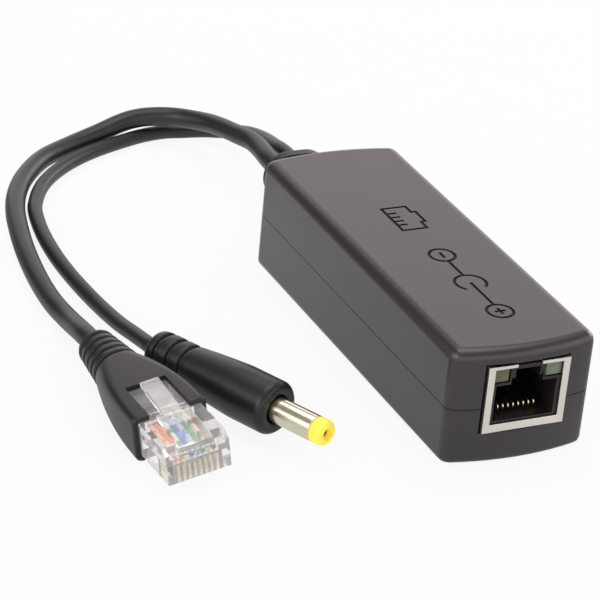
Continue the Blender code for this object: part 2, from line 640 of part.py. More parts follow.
def make_jack_shield(material):
    """Folded sheet can with a lipped front window, an open floor and two ground tabs."""
    half = JACK_WIDTH / 2
    back = JACK_FRONT + JACK_DEPTH
    can = box("shield", (-half, JACK_FRONT, JACK_BOTTOM), (half, back, JACK_TOP))
    shield = add_part("jack_shield", can, material)
    room = box("room", (-half + SHIELD_SHEET, JACK_FRONT + SHIELD_SHEET, JACK_BOTTOM + SHIELD_SHEET),
               (half - SHIELD_SHEET, back - SHIELD_SHEET, JACK_TOP - SHIELD_SHEET))
    cut(shield, room, "shield_room")
    floor = box("floor", (-half + SHIELD_SHEET, JACK_FRONT + SHIELD_FLOOR_LENGTH, JACK_BOTTOM - THROUGH),
                (half - SHIELD_SHEET, back - SHIELD_SHEET, JACK_BOTTOM + THROUGH))
    cut(shield, floor, "shield_floor_opening")
    window = box("window", (-half + SHIELD_SIDE_LIP, JACK_FRONT - THROUGH, JACK_BOTTOM + SHIELD_BOTTOM_LIP),
                 (half - SHIELD_SIDE_LIP, JACK_FRONT + THROUGH, JACK_TOP - SHIELD_TOP_LIP))
    cut(shield, window, "shield_window")
    notch = box("notch", (-LATCH_LEVER_SLOT_WIDTH / 2, JACK_FRONT - THROUGH, JACK_TOP - 2 * SHIELD_TOP_LIP),
                (LATCH_LEVER_SLOT_WIDTH / 2, JACK_FRONT + THROUGH, JACK_TOP + THROUGH))
    cut(shield, notch, "shield_latch_notch")
    tabs = []
    for side in (-1, 1):
        edges = sorted((side * half, side * (half - SHIELD_SHEET)))
        y = JACK_FRONT + SHIELD_TAB_SETBACK
        tabs.append(((edges[0], y, BOARD_BOTTOM - FIT),
                     (edges[1], y + SHIELD_TAB_WIDTH, JACK_BOTTOM + THROUGH)))
    join(shield, boxes("tabs", tabs), "shield_ground_tabs")
    return shield


def led_corners(side, play=0.0):
    """Corners of the LED at one side of the latch slot, or of its pocket with some play."""
    outer = body_half_width() - LED_INSET
    top = JACK_TOP - SHIELD_SHEET - SHIELD_PLAY - LED_INSET / 2
    inner = outer - LED_WIDTH
    xs = sorted((side * (outer + play), side * (inner - play)))
    front = JACK_FRONT + SHIELD_SHEET + 2 * SHIELD_PLAY
    low = (xs[0], front - (THROUGH if play else 0), top - LED_HEIGHT - play)
    high = (xs[1], front + LED_LENGTH + play, top + play)
    return low, high


def body_half_width():
    return JACK_WIDTH / 2 - SHIELD_SHEET - SHIELD_PLAY


def make_jack_body(material):
    """Plastic insert of the jack: plug socket, stepped latch slot and two LED pockets."""
    half = body_half_width()
    front = JACK_FRONT + SHIELD_SHEET + SHIELD_PLAY
    back = JACK_FRONT + JACK_DEPTH - SHIELD_SHEET - SHIELD_PLAY
    bottom = JACK_BOTTOM + SHIELD_SHEET + SHIELD_PLAY
    top = JACK_TOP - SHIELD_SHEET - SHIELD_PLAY
    body = add_part("jack_body", box("body", (-half, front, bottom), (half, back, top)), material)
    socket = box("socket", (-SOCKET_WIDTH / 2, front - THROUGH, SOCKET_BOTTOM),
                 (SOCKET_WIDTH / 2, front + SOCKET_DEPTH, SOCKET_BOTTOM + SOCKET_HEIGHT))
    cut(body, socket, "plug_socket")
    ceiling = SOCKET_BOTTOM + SOCKET_HEIGHT
    for name, width, height in (("latch_step", LATCH_SLOT_WIDTH, LATCH_STEP_HEIGHT),
                                ("latch_slot", LATCH_LEVER_SLOT_WIDTH, LATCH_SLOT_HEIGHT)):
        slot = box("slot", (-width / 2, front - THROUGH, ceiling - FIT),
                   (width / 2, front + LATCH_SLOT_DEPTH, ceiling + height))
        cut(body, slot, name)
    for side, word in ((-1, "left"), (1, "right")):
        cut(body, box("pocket", *led_corners(side, LED_PLAY)), f"led_pocket_{word}")
    return body


def make_jack_leds(left_material, right_material):
    """The two indicator lenses in the jack's upper corners."""
    for side, word, material in ((-1, "left", left_material), (1, "right", right_material)):
        low, high = led_corners(side)
        add_part(f"jack_led_{word}", box("led", low, high, bevel=LED_EDGE, segments=2), material)


def contact_x(number):
    return (number - (CONTACT_COUNT + 1) / 2) * CONTACT_PITCH


def make_jack_contacts(material):
    """Eight spring wires: a bend that stands at the front, a shelf, and a climb to the socket's back."""
    radius = JACK_WIRE_DIAMETER / 2
    front = JACK_FRONT + SHIELD_SHEET + SHIELD_PLAY
    low = SOCKET_BOTTOM + radius + FIT / 2
    bend = front + JACK_WIRE_SETBACK
    shelf = low + 1.3 * JACK_WIRE_BEND
    shape = (
        (bend + 3 * radius, low),
        (bend, low + radius),
        (bend, low + JACK_WIRE_BEND),
        (bend + 3 * radius, shelf),
        (front + JACK_WIRE_SHELF, shelf + radius / 2),
        (front + SOCKET_DEPTH - 10 * radius, low + JACK_WIRE_CLIMB),
        (front + SOCKET_DEPTH - FIT, low + JACK_WIRE_CLIMB + radius / 2),
    )
    for number in range(1, CONTACT_COUNT + 1):
        points = [(contact_x(number), y, z) for y, z in shape]
        tube(f"jack_contact_{number}", points, JACK_WIRE_DIAMETER, material, resolution=0)


def make_board(material):
    """Circuit board with holes for the posts' pins and slots for the jack's tabs."""
    board = add_part("circuit_board", box("board", (-BOARD_WIDTH / 2, BOARD_FRONT, BOARD_BOTTOM),
                                          (BOARD_WIDTH / 2, BOARD_REAR, BOARD_TOP)), material)
    for number, (x, y) in enumerate(post_places(), 1):
        hole = cylinder("hole", POST_PIN_DIAMETER / 2 + FIT, BOARD_BOTTOM - THROUGH, BOARD_TOP + THROUGH,
                        (x, y, 0), sides=12)
        cut(board, hole, f"board_hole_{number}")
    slots = []
    for side in (-1, 1):
        x = side * (JACK_WIDTH - SHIELD_SHEET) / 2
        y = JACK_FRONT + SHIELD_TAB_SETBACK
        slots.append(((x - SHIELD_SHEET / 2 - FIT, y - FIT, BOARD_BOTTOM - THROUGH),
                      (x + SHIELD_SHEET / 2 + FIT, y + SHIELD_TAB_WIDTH + FIT, BOARD_TOP + THROUGH)))
    cut(board, boxes("slots", slots), "tab_slots")
    return board


def chip(name, center, size, lead_count, material):
    """A moulded package with a row of formed leads along each long side."""
    x, y = center
    width, depth, height = size
    base = PART_SEAT
    body = box("package", (x - width / 2, y - depth / 2, base),
               (x + width / 2, y + depth / 2, base + height), bevel=PACKAGE_CHAMFER, segments=1)
    item = add_part(name, body, material)
    pitch = width / lead_count
    reach = depth / 2 + PACKAGE_LEAD_REACH
    leads = []
    for k in range(lead_count):
        middle = x - width / 2 + pitch * (k + 0.5)
        leads.append(((middle - pitch * 0.2, y - reach, base + height * 0.3),
                      (middle + pitch * 0.2, y + reach, base + height * 0.42)))
    join(item, boxes("leads", leads), f"{name}_leads")
    return item


def capacitor(name, center, diameter, material):
    """A radial electrolytic can with a rolled groove near its base."""
    radius = diameter / 2
    height = CAPACITOR_HEIGHT
    rim = radius - 1.6 * CAPACITOR_GROOVE
    profile = [
        (0, height), (rim, height), (rim, height - 0.6 * CAPACITOR_GROOVE),
        (radius, height - 1.2 * CAPACITOR_GROOVE), (radius, 4.8 * CAPACITOR_GROOVE),
        (radius - CAPACITOR_GROOVE, 4 * CAPACITOR_GROOVE), (radius, 3.2 * CAPACITOR_GROOVE),
        (radius, 0.6 * CAPACITOR_GROOVE), (radius - 0.8 * CAPACITOR_GROOVE, 0), (0, 0),
    ]
    can = turned(name, profile, 20, material)
    can.location = (*center, PART_SEAT)
    return can


def make_output_inductor(center, material):
    """A ferrite drum with its winding between two flanges."""
    radius = INDUCTOR_DIAMETER / 2
    waist = INDUCTOR_WAIST / 2
    height = INDUCTOR_HEIGHT
    flange = INDUCTOR_FLANGE
    profile = [
        (0, height), (radius, height), (radius, height - flange), (waist, height - flange),
        (waist, flange), (radius, flange), (radius, 0), (0, 0),
    ]
    drum = turned("output_inductor", profile, 20, material)
    drum.location = (*center, PART_SEAT)
    return drum


def make_power_transformer(center, material):
    """A ferrite core block whose winding swells out of its two open sides."""
    x, y = center
    half = CORE_SIZE / 2
    core = box("core", (x - half, y - half, PART_SEAT), (x + half, y + half, PART_SEAT + CORE_HEIGHT),
               bevel=CORE_CHAMFER, segments=1)
    item = add_part("power_transformer", core, material)
    reach = half + WINDING_PROUD
    winding = cylinder("winding", WINDING_DIAMETER / 2, x - reach, x + reach,
                       (x, y, PART_SEAT + CORE_HEIGHT / 2), "X", 16)
    join(item, winding, "transformer_winding")
    return item


def spread(sizes, low, high):
    """Middles of pieces laid in a row with equal gaps between them and at both ends."""
    gap = (high - low - sum(sizes)) / (len(sizes) + 1)
    middles = []
    edge = low
    for size in sizes:
        middles.append(edge + gap + size / 2)
        edge += gap + size
    return middles


def make_board_parts(materials):
    """Four rows of parts between the jack and the cords' pads."""
    edge = BOARD_WIDTH / 2
    lead_room = 2 * PACKAGE_LEAD_REACH
    depths = (LAN_DEPTH + lead_room, CORE_SIZE, INPUT_CAPACITOR_DIAMETER, INDUCTOR_DIAMETER)
    rows = spread(depths, JACK_FRONT + JACK_DEPTH, BOARD_REAR - PAD_ZONE)
    lan = (LAN_WIDTH, LAN_DEPTH, LAN_HEIGHT)
    chip("lan_transformer", (0, rows[0]), lan, LAN_LEAD_COUNT, materials["package"])
    core_x, rectifier_x = spread((CORE_SIZE + 2 * WINDING_PROUD, RECTIFIER_WIDTH), -edge, edge)
    make_power_transformer((core_x, rows[1]), materials["ferrite"])
    rectifier = (RECTIFIER_WIDTH, RECTIFIER_DEPTH, RECTIFIER_HEIGHT)
    step = (RECTIFIER_DEPTH + lead_room + FIT) / 2
    for number, side in ((1, -1), (2, 1)):
        place = (rectifier_x, rows[1] + side * step)
        chip(f"bridge_rectifier_{number}", place, rectifier, RECTIFIER_LEAD_COUNT, materials["package"])
    across = spread((INPUT_CAPACITOR_DIAMETER, CONTROLLER_WIDTH, OUTPUT_CAPACITOR_DIAMETER), -edge, edge)
    capacitor("input_capacitor", (across[0], rows[2]), INPUT_CAPACITOR_DIAMETER, materials["can"])
    controller = (CONTROLLER_WIDTH, CONTROLLER_DEPTH, CONTROLLER_HEIGHT)
    chip("controller_chip", (across[1], rows[2]), controller, CONTROLLER_LEAD_COUNT, materials["package"])
    capacitor("output_capacitor", (across[2], rows[2]), OUTPUT_CAPACITOR_DIAMETER, materials["can"])
    make_output_inductor((0, rows[3]), materials["ferrite"])


def make_inner_leads(materials):
    """Stripped conductors from the jackets' ends down to their pads on the board."""
    start = CORD_START_Y - FIT
    ring = ETHERNET_DIAMETER / 2 - LEAD_DIAMETER / 2 - FIT
    pad_height = PART_SEAT + LEAD_DIAMETER / 2
    for number in range(1, CONTACT_COUNT + 1):
        column = (number - 1) % 4
        upper = number > 4
        angle = math.radians(22.5 + 45 * (3 - column))
        dx = ring * math.cos(angle)
        dz = ring * math.sin(angle) * (1 if upper else -1)
        pad_x = ETHERNET_EXIT_X + (column - 1.5) * DATA_PAD_PITCH
        pad_y = BOARD_REAR - DATA_PAD_SETBACK - (DATA_PAD_ROW if upper else 0)
        places = [
            (ETHERNET_EXIT_X + dx, start, EXIT_HEIGHT + dz),
            (ETHERNET_EXIT_X + dx * 1.2, start - LEAD_STRAIGHT, EXIT_HEIGHT + dz),
            (pad_x, pad_y + LEAD_STRAIGHT / 2, EXIT_HEIGHT + dz - LEAD_DROP),
            (pad_x, pad_y, pad_height),
        ]
        tube(f"data_lead_{number}", smooth_path(places, LEAD_SPACING), LEAD_DIAMETER,
             materials[f"wire_{number}"], resolution=0)
    for number, side in ((1, -1), (2, 1)):
        x = POWER_EXIT_X + side * (POWER_LEAD_DIAMETER + FIT) / 2
        pad_x = POWER_EXIT_X + POWER_PAD_SHIFT + side * POWER_PAD_PITCH / 2
        pad_y = BOARD_REAR - POWER_PAD_SETBACK
        places = [
            (x, start, EXIT_HEIGHT),
            (x + LEAD_STRAIGHT / 3, start - LEAD_STRAIGHT, EXIT_HEIGHT - LEAD_DROP / 8),
            (pad_x - FIT, pad_y + LEAD_STRAIGHT / 2, EXIT_HEIGHT - 1.3 * LEAD_DROP),
            (pad_x, pad_y, PART_SEAT + POWER_LEAD_DIAMETER / 2),
        ]
        tube(f"power_lead_{number}", smooth_path(places, LEAD_SPACING), POWER_LEAD_DIAMETER,
             materials["lead_red" if number == 1 else "lead_black"], resolution=0)


def plug_frame():
    """Empty at the underside of the RJ45 plug's nose. Its own -Y points out of the nose."""
    frame = bpy.data.objects.new("rj45_plug_frame", None)
    parts.objects.link(frame)
    frame.location = PLUG_NOSE
    frame.rotation_mode = "YXZ"
    frame.rotation_euler = (-PLUG_TILT, -PLUG_ROLL, PLUG_HEADING)
    bpy.context.view_layer.update()
    return frame


def power_frame():
    """Empty at the middle of the power plug's front face. Its own -Y points along the barrel."""
    frame = bpy.data.objects.new("power_plug_frame", None)
    parts.objects.link(frame)
    frame.location = POWER_FRONT
    frame.rotation_euler = (-POWER_TILT, 0, POWER_HEADING)
    bpy.context.view_layer.update()
    return frame


def make_plug_housing(frame, material):
    """Clear RJ45 plug with its moulded latch, wire channel and blade slots."""
    nose = PLUG_NOSE_CHAMFER
    profile = [
        (0, 0), (PLUG_LENGTH, 0), (PLUG_LENGTH, PLUG_HEIGHT), (nose, PLUG_HEIGHT), (0, PLUG_HEIGHT - nose),
    ]
    body = prism("plug", profile, -PLUG_WIDTH / 2, PLUG_WIDTH / 2, "X")
    plug = add_part("plug_housing", body, material, frame)
    for name, width, start, end in (("root", LATCH_WIDE, LATCH_ROOT_START, LATCH_SHOULDER),
                                    ("lever", LATCH_NARROW, LATCH_SHOULDER - FIT, LATCH_END)):
        join(plug, latch_section(name, width, start, end), f"latch_{name}")
    notches = []
    for side in (-1, 1):
        xs = sorted((side * (LATCH_WIDE / 2 + FIT), side * (LATCH_WIDE / 2 + FIT + NOSE_NOTCH_WIDTH)))
        notches.append(((xs[0], -THROUGH, PLUG_HEIGHT - NOSE_NOTCH_DEPTH),
                        (xs[1], NOSE_NOTCH_LENGTH, PLUG_HEIGHT + THROUGH)))
    cut(plug, boxes("notches", notches), "nose_notches")
    crimp = box("crimp", (-CRIMP_WIDTH / 2, CRIMP_START, PLUG_HEIGHT - CRIMP_DEPTH),
                (CRIMP_WIDTH / 2, CRIMP_START + CRIMP_LENGTH, PLUG_HEIGHT + CRIMP_DEPTH / 2))
    cut(plug, crimp, "crimp_recess")
    side = PLUG_WIDTH / 2 - PLUG_SIDE_WALL
    entry = box("entry", (-side, PLUG_LENGTH - PLUG_ENTRY_DEPTH, PLUG_WALL),
                (side, PLUG_LENGTH + THROUGH, PLUG_HEIGHT - PLUG_WALL))
    cut(plug, entry, "cord_entry")
    half = (CONTACT_COUNT * CONTACT_PITCH) / 2 + PLUG_PLAY
    reach = PLUG_WIRE_DIAMETER / 2 + PLUG_PLAY
    channel = box("channel", (-half, PLUG_LENGTH - PLUG_CHANNEL_DEPTH, PLUG_WIRE_HEIGHT - reach),
                  (half, PLUG_LENGTH - PLUG_ENTRY_DEPTH + THROUGH, PLUG_WIRE_HEIGHT + reach))
    cut(plug, channel, "wire_channel")
    slots = []
    for number in range(1, CONTACT_COUNT + 1):
        x = contact_x(number)
        wide = BLADE_THICKNESS / 2 + PLUG_PLAY / 2
        slots.append(((x - wide, BLADE_SETBACK - PLUG_PLAY, -THROUGH),
                      (x + wide, BLADE_SETBACK + BLADE_LENGTH + PLUG_PLAY, BLADE_HEIGHT + PLUG_PLAY)))
    cut(plug, boxes("slots", slots), "blade_slots")
    return plug


def latch_section(name, width, start, end):
    """One length of the latch: a strip that bends out of the nose and climbs away from the plug's back."""
    def rise(y):
        share = (y - PLUG_NOSE_CHAMFER) / (LATCH_END - PLUG_NOSE_CHAMFER)
        if share < 0:
            return PLUG_HEIGHT - LATCH_THICKNESS * 0.6 - 0.6 * (PLUG_NOSE_CHAMFER - y)
        return PLUG_HEIGHT - LATCH_THICKNESS * 0.6 + LATCH_RISE * share ** 1.2
    steps = 5
    ys = [start + (end - start) * k / steps for k in range(steps + 1)]
    outline = [(y, rise(y)) for y in ys] + [(y, rise(y) + LATCH_THICKNESS) for y in reversed(ys)]
    return prism(name, outline, -width / 2, width / 2, "X")


def make_plug_contacts(frame, blade_material, materials):
    """Eight gold blades under the nose, each below the end of its conductor."""
    for number in range(1, CONTACT_COUNT + 1):
        x = contact_x(number)
        half = BLADE_THICKNESS / 2
        blade = box("blade", (x - half, BLADE_SETBACK, PLUG_PLAY),
                    (x + half, BLADE_SETBACK + BLADE_LENGTH, BLADE_HEIGHT))
        add_part(f"plug_contact_{number}", blade, blade_material, frame)
        start = PLUG_LENGTH - PLUG_CHANNEL_DEPTH + FIT
        end = PLUG_LENGTH - PLUG_ENTRY_DEPTH
        points = [(x, y, PLUG_WIRE_HEIGHT) for y in (start, (start + end) / 2, end)]
        tube(f"plug_wire_{number}", points, PLUG_WIRE_DIAMETER, materials[f"wire_{number}"], frame, 1)


def boot_middle(share):
    """Height of the boot's middle, from its square front to its round rear."""
    return PLUG_HEIGHT / 2 + BOOT_LIFT * share


def make_plug_boot(frame, material):
    """Moulded boot: a square mouth round the plug that narrows to a ribbed round neck."""
    rings = []

    def add_ring(y, width, height, radius, share):
        outline = rounded_rectangle(width, height, radius, 4, (0, boot_middle(share)))
        rings.append(ring_at(outline, y))

    neck = BOOT_RIBS * BOOT_RIB_PITCH
    shoulder = BOOT_LENGTH - neck
    for share in (0.0, 0.03, 0.35, 0.6, 0.8, 0.92, 1.0):
        blend = share ** 2.4
        bevel = 2 * BOOT_FRONT_EDGE if share == 0 else 0
        width = BOOT_FRONT_WIDTH + (BOOT_NECK_WIDTH - BOOT_FRONT_WIDTH) * blend - bevel
        height = BOOT_FRONT_HEIGHT + (BOOT_NECK_HEIGHT - BOOT_FRONT_HEIGHT) * blend - bevel
        radius = BOOT_CORNER_RADIUS + (height / 2 - BOOT_CORNER_RADIUS) * blend
        add_ring(BOOT_START + shoulder * share, width, height, radius, blend)
    for rib in range(BOOT_RIBS):
        start = BOOT_START + shoulder + rib * BOOT_RIB_PITCH
        groove = 2 * BOOT_GROOVE_DEPTH
        for offset, trim in ((0.12, groove), (0.4, groove), (0.55, 0), (1.0, 0)):
            share = (rib + offset) / BOOT_RIBS
            wide = BOOT_NECK_WIDTH + (BOOT_REAR_DIAMETER - BOOT_NECK_WIDTH) * share - trim
            tall = BOOT_NECK_HEIGHT + (BOOT_REAR_DIAMETER - BOOT_NECK_HEIGHT) * share - trim
            add_ring(start + offset * BOOT_RIB_PITCH, wide, tall, tall / 2, 1.0)
    boot = loft("plug_boot", rings, material, frame)
    sleeve = box("sleeve", (-PLUG_WIDTH / 2 - PLUG_PLAY, BOOT_START - THROUGH, -PLUG_PLAY),
                 (PLUG_WIDTH / 2 + PLUG_PLAY, PLUG_LENGTH + FIT, PLUG_HEIGHT + PLUG_PLAY))
    cut(boot, sleeve, "boot_sleeve")
    slot = box("slot", (-BOOT_SLOT_WIDTH / 2, BOOT_START - THROUGH, PLUG_HEIGHT / 2),
               (BOOT_SLOT_WIDTH / 2, BOOT_START + BOOT_SLOT_LENGTH, BOOT_FRONT_HEIGHT + PLUG_HEIGHT))
    cut(boot, slot, "boot_latch_slot")
    bore = cylinder("bore", ETHERNET_DIAMETER / 2 + FIT, PLUG_LENGTH - THROUGH,
                    BOOT_START + BOOT_LENGTH + THROUGH, (0, 0, boot_middle(1.0)), "Y", 16)
    cut(boot, bore, "boot_cord_bore")
    return boot


def lay_along_frame(item):
    """Turn a piece made about Z so that its top points back along the plug's own +Y."""
    item.rotation_euler = (-math.pi / 2, 0, 0)


def make_power_plug(frame, materials):
    """Barrel plug: moulded body, metal barrel, insulating tip and inner contact."""
    body_radius = POWER_BODY_DIAMETER / 2
    neck_radius = POWER_NECK_DIAMETER / 2
    bore = BARREL_DIAMETER / 2 + FIT
    end = POWER_BODY_LENGTH
    profile = [(0, end), (neck_radius * 0.6, end), (neck_radius * 0.93, end - POWER_GROOVE_WIDTH)]
    pitch = POWER_NECK_LENGTH / (POWER_NECK_GROOVES + 0.5)
    for number in range(1, POWER_NECK_GROOVES + 1):
        z = end - number * pitch
        half = POWER_GROOVE_WIDTH / 2
        deep = neck_radius - POWER_GROOVE_DEPTH
        profile += [(neck_radius, z + half), (deep, z + half * 0.5)]
        profile += [(deep, z - half * 0.5), (neck_radius, z - half)]
    shoulder = end - POWER_NECK_LENGTH
    for share in (0.15, 0.5, 1.0):
        swell = (body_radius - neck_radius) * share ** 0.7
        profile.append((neck_radius + swell, shoulder * (1 - 0.55 * share)))
    profile += [(body_radius, POWER_FRONT_EDGE), (body_radius - POWER_FRONT_EDGE, 0)]
    profile += [(bore, 0), (bore, BARREL_ANCHOR + FIT)]
    profile += [(0, BARREL_ANCHOR + FIT)]
    body = turned("power_plug_body", profile, 28, materials["boot"], frame)
    lay_along_frame(body)
    outer = BARREL_DIAMETER / 2
    inner = BARREL_BORE / 2
    front = -BARREL_LENGTH
    ring = [(outer, BARREL_ANCHOR), (outer, front), (inner, front), (inner, BARREL_ANCHOR)]
    barrel = turned("power_plug_barrel", ring, 24, materials["barrel"], frame, closed=True)
    lay_along_frame(barrel)
    hole_y = front + BARREL_DETENT_SETBACK
    hole = cylinder("detent", BARREL_DETENT_DIAMETER / 2, inner * 0.5, outer + THROUGH, (0, hole_y, 0),
                    sides=10)
    cut(barrel, hole, "barrel_detent")
    seat = front - RADIAL_PLAY
    tip_end = seat - TIP_LENGTH
    sleeve = inner - RADIAL_PLAY
    bore = TIP_BORE / 2
    tip_profile = [
        (sleeve, seat + TIP_SLEEVE), (sleeve, seat), (outer, seat), (outer, tip_end + TIP_CHAMFER),
        (outer - 0.3 * TIP_CHAMFER, tip_end + 0.3 * TIP_CHAMFER), (outer - TIP_CHAMFER, tip_end),
        (bore, tip_end), (bore, seat + TIP_SLEEVE),
    ]
    tip = turned("power_plug_tip", tip_profile, 24, materials["tip"], frame, closed=True)
    lay_along_frame(tip)
    contact = INNER_CONTACT_DIAMETER / 2
    socket = INNER_CONTACT_BORE / 2
    contact_front = tip_end + INNER_CONTACT_SETBACK
    contact_end = contact_front + INNER_CONTACT_LENGTH
    bore_end = contact_front + 0.8 * INNER_CONTACT_LENGTH
    contact_profile = [
        (0, contact_end), (contact, contact_end), (contact, contact_front), (socket, contact_front),
        (socket, bore_end), (0, bore_end),
    ]
    lay_along_frame(turned("power_plug_contact", contact_profile, 16, materials["brass"], frame))


def make_cords(plug, power, material):
    """Both cords, from inside the housing through the grommet to their plugs."""
    def exit_points(x):
        return [Vector((x, y, EXIT_HEIGHT)) for y in (CORD_START_Y, REAR_Y, GROMMET_END_Y)]

    def inside(frame, y, z):
        return frame.matrix_world @ Vector((0, y, z))

    middle = boot_middle(1.0)
    rear = BOOT_START + BOOT_LENGTH
    ethernet = exit_points(ETHERNET_EXIT_X) + [Vector(p) * MM for p in ETHERNET_ROUTE]
    stops = (rear + ETHERNET_DIAMETER, rear - 1.5 * ETHERNET_DIAMETER, PLUG_LENGTH + ETHERNET_DIAMETER,
             PLUG_LENGTH - PLUG_ENTRY_DEPTH + 3 * FIT)
    ethernet += [inside(plug, y, middle) for y in stops]
    path = smooth_path(ethernet, 1.25 * ETHERNET_DIAMETER)
    tube("ethernet_cord", path, ETHERNET_DIAMETER, material, resolution=3)
    supply = exit_points(POWER_EXIT_X) + [Vector(p) * MM for p in POWER_ROUTE]
    supply += [inside(power, POWER_BODY_LENGTH + gap, 0) for gap in (POWER_DIAMETER, FIT)]
    path = smooth_path(supply, 1.5 * POWER_DIAMETER)
    tube("power_cord", path, POWER_DIAMETER, material, resolution=2)


def make_materials():
    """Plain colours of each piece, as linear values."""
    colors = {
        "housing": ((0.115, 0.105, 0.110), 0.55, 0.0),
        "boot": ((0.030, 0.030, 0.032), 0.5, 0.0),
        "cord": ((0.035, 0.035, 0.036), 0.45, 0.0),
        "shield": ((0.78, 0.74, 0.66), 0.3, 1.0),
        "jack_plastic": ((0.012, 0.012, 0.013), 0.45, 0.0),
        "gold": ((0.83, 0.62, 0.30), 0.25, 1.0),
        "led_left": ((0.45, 0.42, 0.12), 0.35, 0.0),
        "led_right": ((0.10, 0.16, 0.08), 0.35, 0.0),
        "board": ((0.02, 0.11, 0.04), 0.45, 0.0),
        "package": ((0.02, 0.02, 0.022), 0.5, 0.0),
        "ferrite": ((0.05, 0.05, 0.05), 0.6, 0.0),
        "can": ((0.03, 0.05, 0.12), 0.35, 0.0),
        "clear": ((0.80, 0.80, 0.78), 0.1, 0.0),
        "barrel": ((0.72, 0.68, 0.52), 0.25, 1.0),
        "tip": ((0.85, 0.62, 0.04), 0.4, 0.0),
        "brass": ((0.70, 0.50, 0.22), 0.3, 1.0),
        "lead_red": ((0.45, 0.02, 0.02), 0.5, 0.0),
        "lead_black": ((0.02, 0.02, 0.02), 0.5, 0.0),
        "wire_1": ((0.75, 0.50, 0.38), 0.45, 0.0),
        "wire_2": ((0.75, 0.20, 0.04), 0.45, 0.0),
        "wire_3": ((0.55, 0.72, 0.55), 0.45, 0.0),
        "wire_4": ((0.05, 0.12, 0.45), 0.45, 0.0),
        "wire_5": ((0.50, 0.58, 0.75), 0.45, 0.0),
        "wire_6": ((0.04, 0.30, 0.08), 0.45, 0.0),
        "wire_7": ((0.62, 0.52, 0.44), 0.45, 0.0),
        "wire_8": ((0.18, 0.08, 0.04), 0.45, 0.0),
    }
    return {name: make_material(name, *values) for name, values in colors.items()}


def main():
    start_scene()
    materials = make_materials()
    make_bottom_cover(materials["housing"])
    make_top_cover(materials["housing"])
    make_grommet(materials["boot"])
    make_jack_shield(materials["shield"])
    make_jack_body(materials["jack_plastic"])
    make_jack_leds(materials["led_left"], materials["led_right"])
    make_jack_contacts(materials["gold"])
    make_board(materials["board"])
    make_board_parts(materials)
    make_inner_leads(materials)
    plug = plug_frame()
    make_plug_housing(plug, materials["clear"])
    make_plug_contacts(plug, materials["gold"], materials)
    make_plug_boot(plug, materials["boot"])
    power = power_frame()
    make_power_plug(power, materials)
    make_cords(plug, power, materials["cord"])
    shade_parts()


main()
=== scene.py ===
import bmesh
import bpy
import math
import numpy as np
from mathutils import Euler, Matrix, Vector


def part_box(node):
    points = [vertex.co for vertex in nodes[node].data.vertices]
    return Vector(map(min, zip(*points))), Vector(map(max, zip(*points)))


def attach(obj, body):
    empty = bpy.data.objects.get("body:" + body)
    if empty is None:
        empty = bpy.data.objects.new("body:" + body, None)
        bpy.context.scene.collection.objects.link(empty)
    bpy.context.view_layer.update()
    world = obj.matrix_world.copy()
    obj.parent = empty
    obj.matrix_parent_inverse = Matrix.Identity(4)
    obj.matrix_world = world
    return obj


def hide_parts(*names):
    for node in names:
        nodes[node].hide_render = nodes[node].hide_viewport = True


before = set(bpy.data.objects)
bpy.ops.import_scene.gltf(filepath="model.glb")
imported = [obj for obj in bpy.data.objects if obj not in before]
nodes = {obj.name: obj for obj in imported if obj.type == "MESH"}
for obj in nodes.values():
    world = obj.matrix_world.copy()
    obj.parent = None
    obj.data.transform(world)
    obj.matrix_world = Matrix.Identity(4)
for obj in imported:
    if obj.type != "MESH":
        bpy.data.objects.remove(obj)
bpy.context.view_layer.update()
mm = 0.001
weldDistance = 1e-7  # in metres
hair = 0.001  # in millimetres, between rounded corners that nearly meet
print("frame loaded:", len(nodes), "nodes")


# The camera stands where the photograph was taken from.

cameraSetup = {
    "azimuth": -27.07, "elevation": 27.245, "roll": 5.542,  # degrees
    "distance": 523.5, "shiftRight": -20.57, "shiftUp": 8.9,
    "focalPixels": 2806.1, "pictureWidth": 600, "sensor": 36.0,
    "clip": (0.02, 20.0),  # metres
}


def added(name, data):
    # an object in the scene that holds the data
    made = bpy.data.objects.new(name, data)
    bpy.context.scene.collection.objects.link(made)
    return made


def addCamera(c):
    azimuth, elevation, roll = (math.radians(c[k]) for k in ("azimuth", "elevation", "roll"))
    back = Vector((math.sin(azimuth) * math.cos(elevation), -math.cos(azimuth) * math.cos(elevation),
                   math.sin(elevation)))
    level = Vector((math.cos(azimuth), math.sin(azimuth), 0))
    rise = back.cross(level)
    right = level * math.cos(roll) + rise * math.sin(roll)
    up = rise * math.cos(roll) - level * math.sin(roll)
    data = bpy.data.cameras.new("camera")
    data.lens = c["focalPixels"] / c["pictureWidth"] * c["sensor"]
    data.sensor_width = c["sensor"]
    data.clip_start, data.clip_end = c["clip"]
    camera = added("camera", data)
    place = Matrix((right, up, back)).transposed().to_4x4()
    place.translation = (right * c["shiftRight"] + up * c["shiftUp"] + back * c["distance"]) * mm
    camera.matrix_world = place
    bpy.context.scene.camera = camera


addCamera(cameraSetup)
bpy.context.scene.view_settings.view_transform = "Standard"
print("camera placed")


# A strand is one socket of a material, and sums on strands add their nodes.

